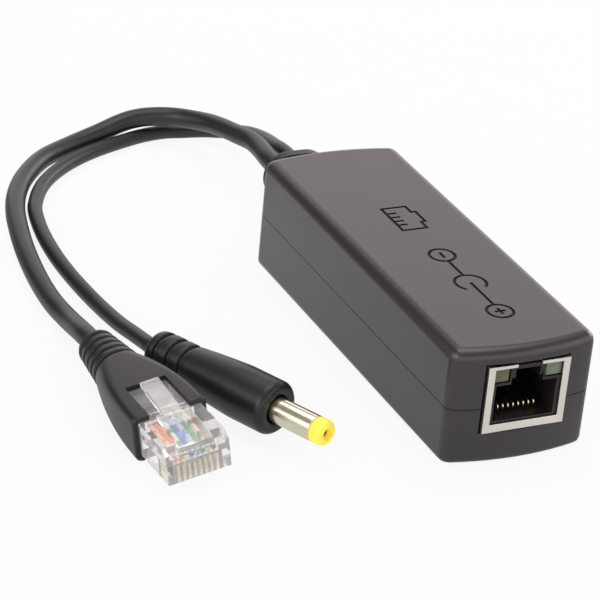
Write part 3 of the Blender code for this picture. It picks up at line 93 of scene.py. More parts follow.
class Strand:
    def __init__(self, tree, socket=None):
        self.tree, self.socket = tree, socket

    def node(self, kind, settings=None, values=None, out=0):
        made = self.tree.nodes.new("ShaderNode" + kind)
        for key, value in (settings or {}).items():
            if key == "stops":  # (position, colour) pairs of a ramp
                ramp = made.color_ramp
                while len(ramp.elements) < len(value):
                    ramp.elements.new(0.5)
                for element, (position, color) in zip(ramp.elements, value):
                    element.position = position
                    element.color = (*color, 1)
            else:
                setattr(made, key, value)
        for key, value in (values or {}).items():
            if isinstance(value, Strand):
                self.tree.links.new(value.socket, made.inputs[key])
            else:
                made.inputs[key].default_value = value
        return Strand(self.tree, made.outputs[out])

    def sum(self, operation, *others):
        return self.node("Math", {"operation": operation}, dict(enumerate(others)))

    def __add__(self, other): return self.sum("ADD", self, other)
    def __radd__(self, other): return self.sum("ADD", other, self)
    def __sub__(self, other): return self.sum("SUBTRACT", self, other)
    def __rsub__(self, other): return self.sum("SUBTRACT", other, self)
    def __mul__(self, other): return self.sum("MULTIPLY", self, other)
    def __rmul__(self, other): return self.sum("MULTIPLY", other, self)
    def __truediv__(self, other): return self.sum("DIVIDE", self, other)
    def __pow__(self, other): return self.sum("POWER", self, other)
    def __lt__(self, other): return self.sum("LESS_THAN", self, other)
    def __gt__(self, other): return self.sum("GREATER_THAN", self, other)
    def __abs__(self): return self.sum("ABSOLUTE", self)

    def most(self, other): return self.sum("MAXIMUM", self, other)
    def fraction(self): return self.sum("FRACT", self)
    def clipped(self): return self.node("Clamp", {}, {"Value": self})
    def swing(self, width): return (self - 0.5) * width  # as much below zero as above it

    def between(self, first, second):  # this strand as the mask between two shaders
        return self.node("MixShader", {}, {0: self, 1: first, 2: second})

    def blend(self, low, high):  # this strand as the mask between two colours
        low, high = ((*c, 1) if isinstance(c, tuple) else c for c in (low, high))
        return self.node("Mix", {"data_type": "RGBA"}, {0: self, 6: low, 7: high}, out=2)

    def shades(self, color, factors, top=1.0):  # from a colour made darker to the same made lighter
        return self.blend(*(tuple(min(top, c * factor) for c in color) for factor in factors))

    def spots(self, scale, detail, roughness=0.5, stretch=(1, 1, 1)):
        place = self.node("Mapping", {}, {"Vector": self, "Scale": stretch})
        return self.node("TexNoise", {}, {"Vector": place, "Scale": scale, "Detail": detail, "Roughness": roughness})

    def axes(self):
        parts = self.node("SeparateXYZ", {}, {0: self})
        made = parts.socket.node
        return [Strand(self.tree, made.outputs[k]) for k in range(3)]


class Finish:
    def __init__(self, name, **fixed):  # fixed holds the sockets that are the same all over
        self.material = bpy.data.materials.new(name)
        self.material.use_nodes = True
        self.tree = self.material.node_tree
        self.shader = self.tree.nodes["Principled BSDF"]
        self.root = Strand(self.tree)
        self.spot = self.root.node("TexCoord", out=3)  # Object coordinates
        for key, value in fixed.items():
            self.give(key, value)

    def give(self, key, value):
        socket = self.shader.inputs[key.replace("_", " ")]
        if isinstance(value, Strand):
            self.tree.links.new(value.socket, socket)
        else:
            socket.default_value = (*value, 1) if isinstance(value, tuple) else value

    def relief(self, height):  # heights in millimetres
        self.give("Normal", self.root.node("Bump", {}, {"Height": height, "Distance": mm, "Strength": 1.0}))

    def grained(self, grain, look):  # the same grain in the roughness and in the relief
        self.give("Roughness", look["roughness"] + grain.swing(look["spread"]))
        self.relief(grain * look["depth"])
        return self

    def overlay(self, mask, shader):  # another shader shows where the mask is 1
        mixed = mask.between(Strand(self.tree, self.shader.outputs["BSDF"]), shader)
        self.tree.links.new(mixed.socket, self.tree.nodes["Material Output"].inputs["Surface"])


# Shapes are grids of points that are computed whole and then handed to a mesh.

def skin(name, grid, finish, caps=(True, True), uv=None, sharpAngle=35.0, ride=True):
    # the rows of the grid are rings, and each four neighbours make one face
    rows, columns = grid.shape[:2]
    here = np.arange(rows * columns).reshape(rows, columns)
    after = np.roll(here, -1, axis=1)
    quads = np.stack([here[:-1], after[:-1], after[1:], here[1:]], axis=-1).reshape(-1, 4)
    faces = quads.tolist() + [here[k].tolist() for k, closed in zip((0, -1), caps) if closed]
    mesh = bpy.data.meshes.new(name)
    mesh.from_pydata(grid.reshape(-1, 3).tolist(), [], faces)
    if uv is not None:  # along and around, one pair for each point
        layer = mesh.uv_layers.new(name="run")
        loops = np.zeros(len(mesh.loops), dtype=np.int32)
        mesh.loops.foreach_get("vertex_index", loops)
        layer.data.foreach_set("uv", uv.reshape(-1, 2)[loops].ravel().astype(np.float32))
    return settle(name, mesh, finish, sharpAngle, ride)


def coat(mesh, finish):
    mesh.materials.clear()
    mesh.materials.append(finish.material)


def weld(mesh, outward=False):
    work = bmesh.new()
    work.from_mesh(mesh)
    bmesh.ops.remove_doubles(work, verts=work.verts, dist=weldDistance)
    if outward:
        bmesh.ops.recalc_face_normals(work, faces=work.faces)
    work.to_mesh(mesh)
    work.free()


def smooth(mesh, sharpAngle):
    mesh.shade_smooth()
    mesh.set_sharp_from_angle(angle=math.radians(sharpAngle))


def settle(name, mesh, finish, sharpAngle, ride=True):
    # doubles merged, faces outward, smooth apart from real corners, and normals that came with a solid left out
    if "custom_normal" in mesh.attributes:
        mesh.attributes.remove(mesh.attributes["custom_normal"])
    weld(mesh, outward=True)
    smooth(mesh, sharpAngle)
    piece = added(name, mesh)
    coat(mesh, finish)
    if ride:
        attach(piece, "root")
    return piece


def smoothCopy(node, name, finish, sharpAngle, edge=0.0):
    # the CAD solid welded and shaded smooth, with its hard edges eased by a bevel
    piece = settle(name, nodes[node].data.copy(), finish, sharpAngle)
    if edge:
        bevel = piece.modifiers.new("edge", "BEVEL")
        bevel.width = edge * mm
        bevel.segments = 2
        bevel.limit_method = "ANGLE"
        bevel.angle_limit = math.radians(sharpAngle)
    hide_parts(node)
    return piece


def unit(rows):
    return rows / np.linalg.norm(rows, axis=1)[:, None]


def travelled(path):
    # how far each point lies along the path
    return np.concatenate([[0], np.cumsum(np.linalg.norm(np.diff(path, axis=0), axis=1))])


def rings(path, level, rise, radius, sides):
    # circles round the points of the path, each in the plane of its two directions
    angle = np.linspace(0, 2 * np.pi, sides, endpoint=False)[:, None]
    return path[:, None] + radius * (level[:, None] * np.cos(angle) + rise[:, None] * np.sin(angle))


def turnedGrid(profile, sides):
    # a profile of distance along and radius, carried round the Y axis
    along, radius = np.array(profile, float).T
    angle = np.linspace(0, 2 * np.pi, sides, endpoint=False)
    x = radius[:, None] * np.cos(angle)
    z = radius[:, None] * np.sin(angle)
    y = np.broadcast_to(along[:, None], x.shape)
    return np.stack([x, y, z], axis=-1) * mm


def roundedProfile(corners, radius, steps=5, most=0.45):
    # each corner of a profile gives way to a curve that takes a radius, or the most of a short side, on each side
    corners = np.array(corners, float)
    radius = np.broadcast_to(radius, len(corners) - 2)
    before, here, after = corners[:-2], corners[1:-1], corners[2:]
    toBefore, toAfter = before - here, after - here
    longBefore, longAfter = (np.linalg.norm(side, axis=1) for side in (toBefore, toAfter))
    cut = np.minimum(radius, most * np.minimum(longBefore, longAfter))
    start = here + toBefore * (cut / longBefore)[:, None]
    end = here + toAfter * (cut / longAfter)[:, None]
    t = np.linspace(0, 1, steps)[None, :, None]
    curve = start[:, None] * (1 - t) ** 2 + 2 * here[:, None] * t * (1 - t) + end[:, None] * t ** 2
    return np.concatenate([corners[:1], curve.reshape(-1, 2), corners[-1:]])


def roundedRings(width, height, radius, y, middle, steps=9):
    # each row has four quarter circles of one radius, at the corners of a rectangle smaller by that radius
    width, height, radius, y, middle = (np.asarray(v, float)[..., None, None] for v in
                                        np.broadcast_arrays(width, height, radius, y, middle))
    angle = (np.arange(4)[:, None] + np.linspace(0, 1, steps)[None]) * np.pi / 2
    sideX = np.array([1, -1, -1, 1])[:, None]
    sideZ = np.array([1, 1, -1, -1])[:, None]
    x = sideX * (width / 2 - radius) + radius * np.cos(angle)
    z = sideZ * (height / 2 - radius) + radius * np.sin(angle) + middle
    grid = np.stack([x, np.broadcast_to(y, x.shape), z], axis=-1)
    return grid.reshape(len(grid), -1, 3) * mm


def carve(piece, grids, sharpAngle=38.0):
    # closed skins are cut out of the piece one after the other, and its mesh is then the result
    tools = []
    for number, grid in enumerate(grids):
        ended = not np.allclose(grid[0], grid[-1])
        tools.append(skin(f"tool{number}", grid, cordVinyl, caps=(ended, ended), ride=False))
        cutter = piece.modifiers.new(f"cut{number}", "BOOLEAN")
        cutter.operation, cutter.solver, cutter.object = "DIFFERENCE", "EXACT", tools[-1]
    bpy.context.view_layer.update()
    seen = piece.evaluated_get(bpy.context.evaluated_depsgraph_get())
    result = bpy.data.meshes.new_from_object(seen)
    piece.modifiers.clear()
    old = piece.data
    piece.data = result
    bpy.data.meshes.remove(old)
    for tool in tools:
        bpy.data.meshes.remove(tool.data)
    weld(result)
    smooth(result, sharpAngle)


def block(low, high, radius):
    # a bar along Y between two corners, with rounded long edges
    width, height = high[0] - low[0], high[2] - low[2]
    grid = roundedRings([width] * 2, [height] * 2, radius, [low[1], high[1]], (low[2] + high[2]) / 2, 5)
    return grid + np.array([(low[0] + high[0]) / 2, 0, 0]) * mm


def placed(grid, pose):
    # turned about its own length, then tilted, then headed, and moved to its place
    tilt, roll, heading = (math.radians(pose[k]) for k in ("tilt", "roll", "heading"))
    turn = np.array(Euler((-tilt, -roll, heading), "YXZ").to_matrix())
    return grid @ turn.T + np.array(pose["at"]) * mm


def housingPlastic(name, marks=False):
    # moulded grain; on the shell that has signs, the bottom of each sunk sign gets a darker, less shiny shader: a
    # rougher floor, and painted shade in the recess
    look = {
        "color": (0.034, 0.027, 0.030), "patch": 0.06, "specular": 0.62, "cloud": 18, "cloudShare": 0.6,
        "grainSize": 0.30, "grainDepth": 0.010, "fineShare": 0.3, "roughness": 0.31, "spread": 0.12,
        "markShadeColor": (0.020, 0.017, 0.018), "markRoughness": 0.6, "markSpecular": 0.15,
        "markLow": 0.02215, "markDeep": 0.0005, "markReach": (0.012, 0.034),  # metres
    }
    f = Finish(name, IOR=1.5, Specular_IOR_Level=look["specular"])
    cloud = f.spot.spots(look["cloud"], 2)
    grain = f.spot.spots(1 / (look["grainSize"] * mm), 2, 0.55)
    fine = f.spot.spots(3 / (look["grainSize"] * mm), 1)
    mask = cloud * look["cloudShare"] + grain * (1 - look["cloudShare"])
    f.give("Base_Color", mask.shades(look["color"], (1 - look["patch"], 1 + look["patch"])))
    f.give("Roughness", look["roughness"] + grain.swing(look["spread"]))
    f.relief((grain * (1 - look["fineShare"]) + fine * look["fineShare"]) * look["grainDepth"])
    # painted shade: the sign floors get a darker colour and little shine, standing for shade in the cut recesses;
    # their higher roughness is their own finish
    if marks:
        x, y, z = f.spot.axes()
        sunk = (z < look["markLow"]) * (z > look["markLow"] - look["markDeep"])
        mask = sunk * (abs(x) < look["markReach"][0]) * (abs(y) < look["markReach"][1])
        dullAndShaded = {"Base Color": (*look["markShadeColor"], 1), "Roughness": look["markRoughness"],
                "Specular IOR Level": look["markSpecular"]}
        f.overlay(mask, f.root.node("BsdfPrincipled", {}, dullAndShaded))
    return f


def softPlastic(name, color, roughness, grainSize=0.35, grainDepth=0.012, glow=0.0):
    # moulded boots, grommet and tip; a little glow stands for light that passes through a bright plastic
    look = {"specular": 0.45, "cloud": 60, "shades": (0.8, 1.2), "cloudSpread": 0.1, "grainSpread": 0.08}
    f = Finish(name, IOR=1.5, Specular_IOR_Level=look["specular"], Emission_Color=color, Emission_Strength=glow)
    cloud = f.spot.spots(look["cloud"], 2)
    grain = f.spot.spots(1 / (grainSize * mm), 2)
    f.give("Base_Color", (cloud * 0.5 + grain * 0.5).shades(color, look["shades"], math.inf))
    f.give("Roughness", roughness + cloud.swing(look["cloudSpread"]) + grain.swing(look["grainSpread"]))
    f.relief(grain * grainDepth)
    return f


def jacket(name, color):
    # extruded cord: faint lines along it and slow waves of thickness
    look = {
        "shades": (0.85, 1.15), "lines": 9, "lineStretch": (0.4, 40, 1), "waves": 300, "waveStretch": (1, 0.02, 1),
        "grain": 3200, "roughness": 0.40, "lineSpread": 0.12, "grainSpread": 0.1,
        "lineDepth": 0.010, "waveDepth": 0.02, "grainDepth": 0.008,
    }
    f = Finish(name, IOR=1.5, Specular_IOR_Level=0.5)
    run = f.root.node("TexCoord", out=2)  # the surface coordinates
    lines = run.spots(look["lines"], 2, stretch=look["lineStretch"])
    waves = run.spots(look["waves"], 1, stretch=look["waveStretch"])
    grain = f.spot.spots(look["grain"], 2)
    f.give("Base_Color", (lines * 0.5 + grain * 0.5).shades(color, look["shades"]))
    f.give("Roughness", look["roughness"] + lines.swing(look["lineSpread"]) + grain.swing(look["grainSpread"]))
    f.relief(lines * look["lineDepth"] + waves * look["waveDepth"] + grain * look["grainDepth"])
    return f


def sheetMetal(name, color, roughness=0.28, streak=(1, 1, 14), depth=0.004):
    look = {"rolled": 900, "smudge": 220, "shades": (0.88, 1.05), "spread": 0.14}
    f = Finish(name, Metallic=1.0)
    rolled = f.spot.spots(look["rolled"], 3, stretch=streak)
    smudge = f.spot.spots(look["smudge"], 3)
    f.give("Base_Color", smudge.shades(color, look["shades"]))
    f.give("Roughness", roughness + rolled.swing(look["spread"]) + smudge.swing(look["spread"]))
    f.relief(rolled * depth)
    return f


def clearPlastic(name):
    # the faint white glow is painted light that brightens the clear plug
    look = {"color": (0.97, 0.95, 0.94), "shades": (0.94, 1), "roughness": 0.04, "spread": 0.04, "clear": 0.93,
            "glow": (1.0, 0.98, 0.96), "glowStrength": 0.05, "flow": 140, "flowStretch": (1, 0.35, 1), "depth": 0.03}
    f = Finish(name, IOR=1.46, Transmission_Weight=look["clear"], Specular_IOR_Level=0.5,
               Emission_Color=look["glow"], Emission_Strength=look["glowStrength"])
    flow = f.spot.spots(look["flow"], 2, stretch=look["flowStretch"])
    f.give("Base_Color", flow.shades(look["color"], look["shades"]))
    return f.grained(flow, look)


def lens(name, color):
    look = {"clear": 0.25, "haze": 900, "shades": (0.82, 1.1), "roughness": 0.28, "spread": 0.12, "depth": 0.01}
    f = Finish(name, IOR=1.5, Transmission_Weight=look["clear"], Specular_IOR_Level=0.5)
    haze = f.spot.spots(look["haze"], 2)
    f.give("Base_Color", haze.shades(color, look["shades"]))
    return f.grained(haze, look)


def insulation(name, color, second=None, glow=0.0):
    # wire insulation, with a slanting stripe where it has one; the glow stands for light through the clear plug
    look = {"grain": 1500, "shades": (0.85, 1.1), "pitch": 3.2, "slant": 0.6, "stripe": 0.35, "roughness": 0.38,
            "spread": 0.1, "depth": 0.006}
    f = Finish(name, IOR=1.48, Emission_Strength=glow)
    x, y, z = f.spot.axes()
    grain = f.spot.spots(look["grain"], 2)
    base = grain.shades(color, look["shades"])
    if second:
        turn = ((y + x * look["slant"]) * (1 / (look["pitch"] * mm))).fraction()
        base = (turn < look["stripe"]).blend(base, second)
    f.give("Base_Color", base)
    f.give("Emission_Color", base)
    return f.grained(grain, look)


def boardFinish():
    # solder mask over copper tracks, bare at its cut edges
    look = {
        "mask": (0.012, 0.10, 0.035), "track": (0.03, 0.19, 0.07), "edge": (0.32, 0.30, 0.16),
        "pitch": 2.2, "trackHalf": 0.16, "cutPitch": 11.0, "cutShare": 0.7, "waver": 1.5, "cutWaver": 3,
        "levelOver": 0.5, "roughness": 0.35, "spread": 0.15, "trackDepth": 0.03, "grainDepth": 0.004,
    }
    f = Finish("boardMask", IOR=1.5)
    x, y, z = f.spot.axes()
    cell = x * (1 / (look["pitch"] * mm)) + f.spot.spots(160, 1) * look["waver"]
    tooth = abs(cell.fraction() - 0.5)
    cut = y * (1 / (look["cutPitch"] * mm)) + f.spot.spots(70, 0) * look["cutWaver"]
    track = (tooth < look["trackHalf"]) * (cut.fraction() < look["cutShare"])
    upward = f.root.node("NewGeometry", out=1).axes()[2]
    color = (abs(upward) < look["levelOver"]).blend(track.blend(look["mask"], look["track"]), look["edge"])
    grain = f.spot.spots(2500, 2)
    f.give("Base_Color", color)
    f.give("Roughness", look["roughness"] + grain.swing(look["spread"]))
    f.relief(track * look["trackDepth"] + grain * look["grainDepth"])
    return f


def packageFinish(name, box):
    # moulded package, bright where its leads stand out past the body
    look = {"shades": ((0.014, 0.014, 0.016), (0.032, 0.032, 0.035)), "lead": (0.62, 0.62, 0.60), "leadLength": 0.88,
            "roughness": 0.55, "leadSmoother": 0.25, "spread": 0.1, "depth": 0.01}
    low, high = box
    f = Finish(name, IOR=1.5)
    x, y, z = f.spot.axes()
    lead = abs(y - (low.y + high.y) / 2) > (high.y - low.y) / 2 - look["leadLength"] * mm
    grain = f.spot.spots(4000, 2)
    f.give("Base_Color", lead.blend(grain.blend(*look["shades"]), look["lead"]))
    f.give("Metallic", lead)
    f.give("Roughness", look["roughness"] - lead * look["leadSmoother"] + grain.swing(look["spread"]))
    f.relief(grain * look["depth"])
    return f


def canFinish(name, box):
    # printed sleeve with a pale stripe and a bare aluminium top
    look = {"shades": ((0.018, 0.032, 0.10), (0.028, 0.048, 0.14)), "stripe": (0.45, 0.50, 0.60), "stripeFrom": 0.8,
            "top": (0.75, 0.75, 0.76), "topHeight": 0.4, "roughness": 0.32, "spread": 0.12, "depth": 0.006}
    low, high = box
    f = Finish(name, IOR=1.5)
    x, y, z = f.spot.axes()
    top = z > high.z - look["topHeight"] * mm
    stripe = (x > (low.x + (high.x - low.x) * look["stripeFrom"])) * (1 - top)
    grain = f.spot.spots(1800, 2)
    f.give("Base_Color", top.blend(stripe.blend(grain.blend(*look["shades"]), look["stripe"]), look["top"]))
    f.give("Metallic", top)
    return f.grained(grain, look)


def ferriteFinish(name, box, drum=False):
    # sintered ferrite, with enamelled copper turns where the winding shows: round a drum, or at a block's sides
    look = {
        "shades": ((0.028, 0.028, 0.030), (0.062, 0.060, 0.058)), "copper": (0.42, 0.16, 0.05),
        "drumShare": 0.45, "rim": 1.1, "drumWire": 0.35, "sideDepth": 0.95, "blockWire": 0.5,
        "roughness": 0.6, "wireSmoother": 0.3, "spread": 0.1, "wireDepth": 0.12, "grainDepth": 0.02,
    }
    low, high = box
    f = Finish(name, IOR=1.6)
    x, y, z = f.spot.axes()
    grain = f.spot.spots(2600, 3)
    fromMiddle = x - (low.x + high.x) / 2
    if drum:
        sideways = y - (low.y + high.y) / 2
        away = (fromMiddle * fromMiddle + sideways * sideways) ** 0.5
        wound = (away < (high.x - low.x) * look["drumShare"]) * (z < high.z - look["rim"] * mm) * (
            z > low.z + look["rim"] * mm)
        turns = z / (look["drumWire"] * mm)
    else:
        wound = abs(fromMiddle) > (high.x - low.x) / 2 - look["sideDepth"] * mm
        turns = (y + z) / (look["blockWire"] * mm)
    thread = abs(turns.fraction() - 0.5)
    f.give("Base_Color", wound.blend(grain.blend(*look["shades"]), look["copper"]))
    f.give("Roughness", look["roughness"] - wound * look["wireSmoother"] + grain.swing(look["spread"]))
    f.relief(wound * thread * look["wireDepth"] + grain * look["grainDepth"])
    return f


mainPlastic = housingPlastic("housingPlastic")
markedPlastic = housingPlastic("housingPlasticMarked", marks=True)
bootVinyl = softPlastic("bootVinyl", (0.014, 0.013, 0.014), 0.38)
grommetVinyl = softPlastic("grommetVinyl", (0.008, 0.008, 0.009), 0.42)
cordVinyl = jacket("cordVinyl", (0.012, 0.012, 0.013))
shieldTin = sheetMetal("shieldTin", (0.98, 0.91, 0.83))
socketNylon = softPlastic("socketNylon", (0.019, 0.014, 0.015), 0.38, 0.25, 0.006)
contactGold = sheetMetal("contactGold", (0.90, 0.76, 0.52), 0.22, (1, 8, 1))
leftLens = lens("leftLens", (0.21, 0.19, 0.09))
rightLens = lens("rightLens", (0.27, 0.31, 0.23))
plugClear = clearPlastic("plugClear")
barrelNickel = sheetMetal("barrelNickel", (0.86, 0.84, 0.64), 0.20, (1, 10, 1), 0.002)
innerBrass = sheetMetal("innerBrass", (0.78, 0.56, 0.26), 0.25, (1, 10, 1))
tipPlastic = softPlastic("tipPlastic", (0.98, 0.84, 0.10), 0.34, 0.5, 0.004, 0.28)
wireLooks = {
    1: ((0.80, 0.55, 0.45), (0.78, 0.25, 0.06)), 2: ((0.78, 0.25, 0.06), None),
    3: ((0.62, 0.78, 0.62), (0.05, 0.35, 0.10)), 4: ((0.06, 0.14, 0.50), None),
    5: ((0.58, 0.66, 0.80), (0.06, 0.14, 0.50)), 6: ((0.05, 0.33, 0.10), None),
    7: ((0.68, 0.58, 0.50), (0.22, 0.10, 0.05)), 8: ((0.22, 0.10, 0.05), None),
}
wirePlastic = {k: insulation(f"wire{k}", *look, glow=0.26) for k, look in wireLooks.items()}
redLead = insulation("leadRed", (0.50, 0.03, 0.03))
blackLead = insulation("leadBlack", (0.025, 0.025, 0.025))
print("finishes made")


# The cords follow the same points as their solids.

cordRoutes = {
    "ethernet": {
        "exitX": -2.3, "diameter": 4.0, "sides": 28, "spacing": 1.2,
        "points": (
            (-2.2, 62.2, 10.8), (-1.6, 66.8, 10.5), (-1.2, 72.7, 10.0), (-2.1, 78.2, 9.3), (-2.9, 83.4, 8.5),
            (-3.9, 88.3, 7.6), (-5.5, 92.1, 6.8), (-7.5, 95.0, 6.3), (-9.7, 96.9, 6.0), (-12.4, 98.3, 5.7),
            (-15.5, 99.4, 5.2), (-19.2, 99.8, 4.3), (-25.1, 98.4, 3.0), (-32.0, 95.9, 2.2), (-40.0, 91.0, 2.1),
            (-46.5, 83.6, 2.1), (-50.7, 76.4, 2.1), (-53.4, 69.5, 2.1), (-55.4, 62.0, 2.1), (-57.1, 54.0, 2.1),
            (-58.4, 46.0, 2.1), (-59.3, 38.0, 2.1), (-59.7, 30.0, 2.2), (-59.6, 22.0, 2.8),
        ),
    },
    "power": {
        "exitX": 2.6, "diameter": 3.0, "sides": 24, "spacing": 1.0,
        "points": (
            (2.8, 65.3, 10.5), (3.1, 70.7, 9.5), (3.8, 76.7, 8.1), (4.0, 83.2, 6.4), (3.2, 88.3, 4.8),
            (1.3, 93.1, 3.1), (-1.8, 96.5, 2.1), (-5.6, 98.2, 1.6), (-9.9, 98.8, 1.6), (-15.0, 98.1, 1.6),
            (-20.4, 96.3, 1.6), (-26.5, 93.8, 1.6), (-32.0, 90.8, 1.6), (-36.8, 87.4, 1.6), (-41.2, 83.3, 1.6),
            (-44.6, 79.0, 1.6), (-47.3, 74.2, 1.6), (-49.4, 69.0, 1.6), (-51.2, 60.0, 1.6), (-52.1, 51.0, 1.6),
            (-52.3, 43.0, 1.6), (-52.0, 35.0, 1.6), (-51.4, 27.0, 1.7), (-50.9, 19.0, 2.4), (-50.4, 12.5, 3.4),
        ),
    },
    "start": 35.425, "rear": 42.0, "grommetEnd": 55.3, "exitHeight": 10.9, "endStep": 0.25, "divisions": 16,
}
plugPose = {"at": (-57.3, -34.9, 2.35), "heading": 2.9, "roll": 9.5, "tilt": 1.0,  # degrees
            "jacketAt": (46.6, 36.6, 25.5, 11.9), "plugLength": 21.5, "axisHeight": 3.45}
powerPose = {"at": (-37.9, -23.0, 5.38), "heading": 22.9, "roll": 0.0, "tilt": 1.7, "bodyLength": 30.5,
             "cordGap": 0.3}


def easedRoute(points, spacing):
    # a curve through the points, each piece weighted from the four points round it, then cut at equal steps
    steps = cordRoutes["divisions"]
    ends = np.concatenate([2 * points[:1] - points[1:2], points, 2 * points[-1:] - points[-2:-1]])
    t = (np.arange(1, steps + 1) / steps)[None, :, None]
    a, b, c, d = (ends[k:len(ends) - 3 + k][:, None] for k in range(4))
    curve = 0.5 * (2 * b + (c - a) * t + (2 * a - 5 * b + 4 * c - d) * t ** 2 + (3 * b - a - 3 * c + d) * t ** 3)
    fine = np.concatenate([points[:1], curve.reshape(-1, 3)])
    travel = travelled(fine)
    wanted = np.linspace(0, travel[-1], max(3, int(round(travel[-1] / spacing)) + 1))
    return np.stack([np.interp(wanted, travel, fine[:, k]) for k in range(3)], axis=-1), travel[-1]


def tubeGrid(path, radius, sides):
    # circles square to the path, with one axis level; the surface coordinates are tens to a metre along, and
    # the share of a turn
    tangent = unit(np.gradient(path, axis=0))
    level = unit(np.cross(tangent, (0, 0, 1.0)))
    uv = np.stack(np.broadcast_arrays(travelled(path)[:, None] * 10, np.arange(sides) / sides), axis=-1)
    return rings(path, level, np.cross(level, tangent), radius[:, None, None], sides), uv


def makeCord(name, node, tail):
    c = cordRoutes[name]
    out = [(c["exitX"], y, cordRoutes["exitHeight"]) for y in
           (cordRoutes["start"], cordRoutes["rear"], cordRoutes["grommetEnd"])]
    route = np.concatenate([np.array(out) * mm, np.array(c["points"]) * mm, tail])
    path, length = easedRoute(route, c["spacing"] * mm)
    rows = np.arange(len(path))
    fromEnd = np.minimum(rows, len(path) - 1 - rows)
    radius = np.where(fromEnd == 0, c["diameter"] / 2 - cordRoutes["endStep"], c["diameter"] / 2) * mm
    grid, uv = tubeGrid(path, radius, c["sides"])
    piece = skin(name + "Jacket", grid, cordVinyl, uv=uv)
    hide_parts(node)
    return piece, path, length


plugMiddle = plugPose["axisHeight"]
plugTail = placed(np.array([(0, y, plugMiddle) for y in plugPose["jacketAt"]]) * mm, plugPose)
powerTail = placed(np.array([(0, powerPose["bodyLength"] + powerPose["cordGap"], 0)]) * mm, powerPose)
ethernetCord, ethernetPath, ethernetLength = makeCord("ethernet", "ethernet_cord", plugTail)
powerCord, powerPath, powerLength = makeCord("power", "power_cord", powerTail)
print("cords laid:", round(ethernetLength, 4), round(powerLength, 4))


powerPlug = {
    "radius": 5.0, "neckRadius": 4.0, "neckLength": 11.0, "grooves": 3, "grooveDepth": 0.7, "grooveWidth": 1.0,
    "grooveFloor": 0.6, "endRadius": 2.4, "endSlope": 1.2, "endShare": 0.95, "flankShare": 0.55, "flankPower": 0.7,
    "flankFrom": 0.1, "flankRows": 7, "frontEdge": (0.9, 0.7), "bore": 2.7, "anchor": 6.3, "pole": 0.02, "sides": 64,
    "sharpAngle": 50, "barrel": 2.4, "barrelBore": 1.9, "barrelLength": 9.0, "barrelGap": 0.3, "play": 0.15,
    "tipLength": 2.6, "tipBore": 1.2, "tipSleeve": 6.0, "tipNose": ((0.9, 0.0), (0.2, 0.35), (0.0, 0.9)),
    "rounding": {"body": 0.45, "barrel": 0.08, "tip": 0.25},
}


def makePowerPlug(p):
    # three turned shapes: a body whose neck has grooves and whose flank swells as a power, a barrel, and a tip
    def turned(name, corners, part, finish, closed):
        grid = turnedGrid(roundedProfile(corners, p["rounding"][part]), p["sides"])
        return skin(name, placed(grid, powerPose), finish, caps=(closed, closed), sharpAngle=p["sharpAngle"])

    end = powerPose["bodyLength"]
    shoulder = end - p["neckLength"]
    pitch = p["neckLength"] / (p["grooves"] + 0.5)
    corners = [(end, p["pole"]), (end, p["endRadius"]), (end - p["endSlope"], p["neckRadius"] * p["endShare"])]
    half, deep = p["grooveWidth"] / 2, p["neckRadius"] - p["grooveDepth"]
    for k in range(p["grooves"]):
        at = end - (k + 1) * pitch
        corners += [(at + half, p["neckRadius"]), (at + half * p["grooveFloor"], deep),
                    (at - half * p["grooveFloor"], deep), (at - half, p["neckRadius"])]
    share = np.linspace(p["flankFrom"], 1, p["flankRows"])
    swell = p["neckRadius"] + (p["radius"] - p["neckRadius"]) * share ** p["flankPower"]
    corners += list(zip(shoulder * (1 - p["flankShare"] * share), swell))
    back, drop = p["frontEdge"]
    corners += [(back, p["radius"]), (0, p["radius"] - drop), (0, p["bore"]), (p["anchor"], p["bore"]),
                (p["anchor"], p["pole"])]
    body = turned("powerPlugBody", corners, "body", bootVinyl, True)
    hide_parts("power_plug_body")
    front, inner = -p["barrelLength"], p["anchor"] - p["barrelGap"]
    ring = [(inner, p["barrel"]), (front, p["barrel"]), (front, p["barrelBore"]), (inner, p["barrelBore"]),
            (inner, p["barrel"])]
    barrel = turned("powerPlugBarrel", ring, "barrel", barrelNickel, False)
    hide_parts("power_plug_barrel")
    seat = front - p["play"]
    tipEnd, sleeve, inner = seat - p["tipLength"], p["barrelBore"] - p["play"], seat + p["tipSleeve"]
    ring = [(inner, sleeve), (seat, sleeve), (seat, p["barrel"])]
    ring += [(tipEnd + ahead, p["barrel"] - drop) for ahead, drop in p["tipNose"]]
    ring += [(tipEnd, p["tipBore"]), (inner, p["tipBore"]), (inner, sleeve)]
    tip = turned("powerPlugTip", ring, "tip", tipPlastic, False)
    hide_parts("power_plug_tip")
    return body, barrel, tip


powerBody, powerBarrel, powerTip = makePowerPlug(powerPlug)
print("power plug made")


bootShape = {
    "from": 10.6, "shoulder": 32.1, "ribs": 5, "pitch": 2.1, "grooveDepth": 0.6, "frontWidth": 13.9,
    "frontHeight": 8.8, "neckWidth": 9.4, "neckHeight": 8.2, "rear": 7.0, "corner": 1.2, "edge": 0.3, "lift": 0.15,
    "plugWidth": 11.7, "plugHeight": 6.6, "play": 0.15, "slotWidth": 7.6, "slotLength": 10.0, "slotTop": 16,
    "bore": 4.6, "boreTo": 50, "overlap": 3, "beyond": 2, "sleeveGap": 0.3, "sleeveCorner": 0.25, "slotCorner": 0.3,
    "narrowing": 2.4, "ribRows": 20, "groove": ((0, 0.04, 0.16, 0.40, 0.54, 1), (0, 0, 1, 1, 0, 0)),
    "rim": (0.05, 0.12, 0.25, 0.5), "firstRows": (0, 0.006, 0.02), "rows": (0.04, 1, 30),
}


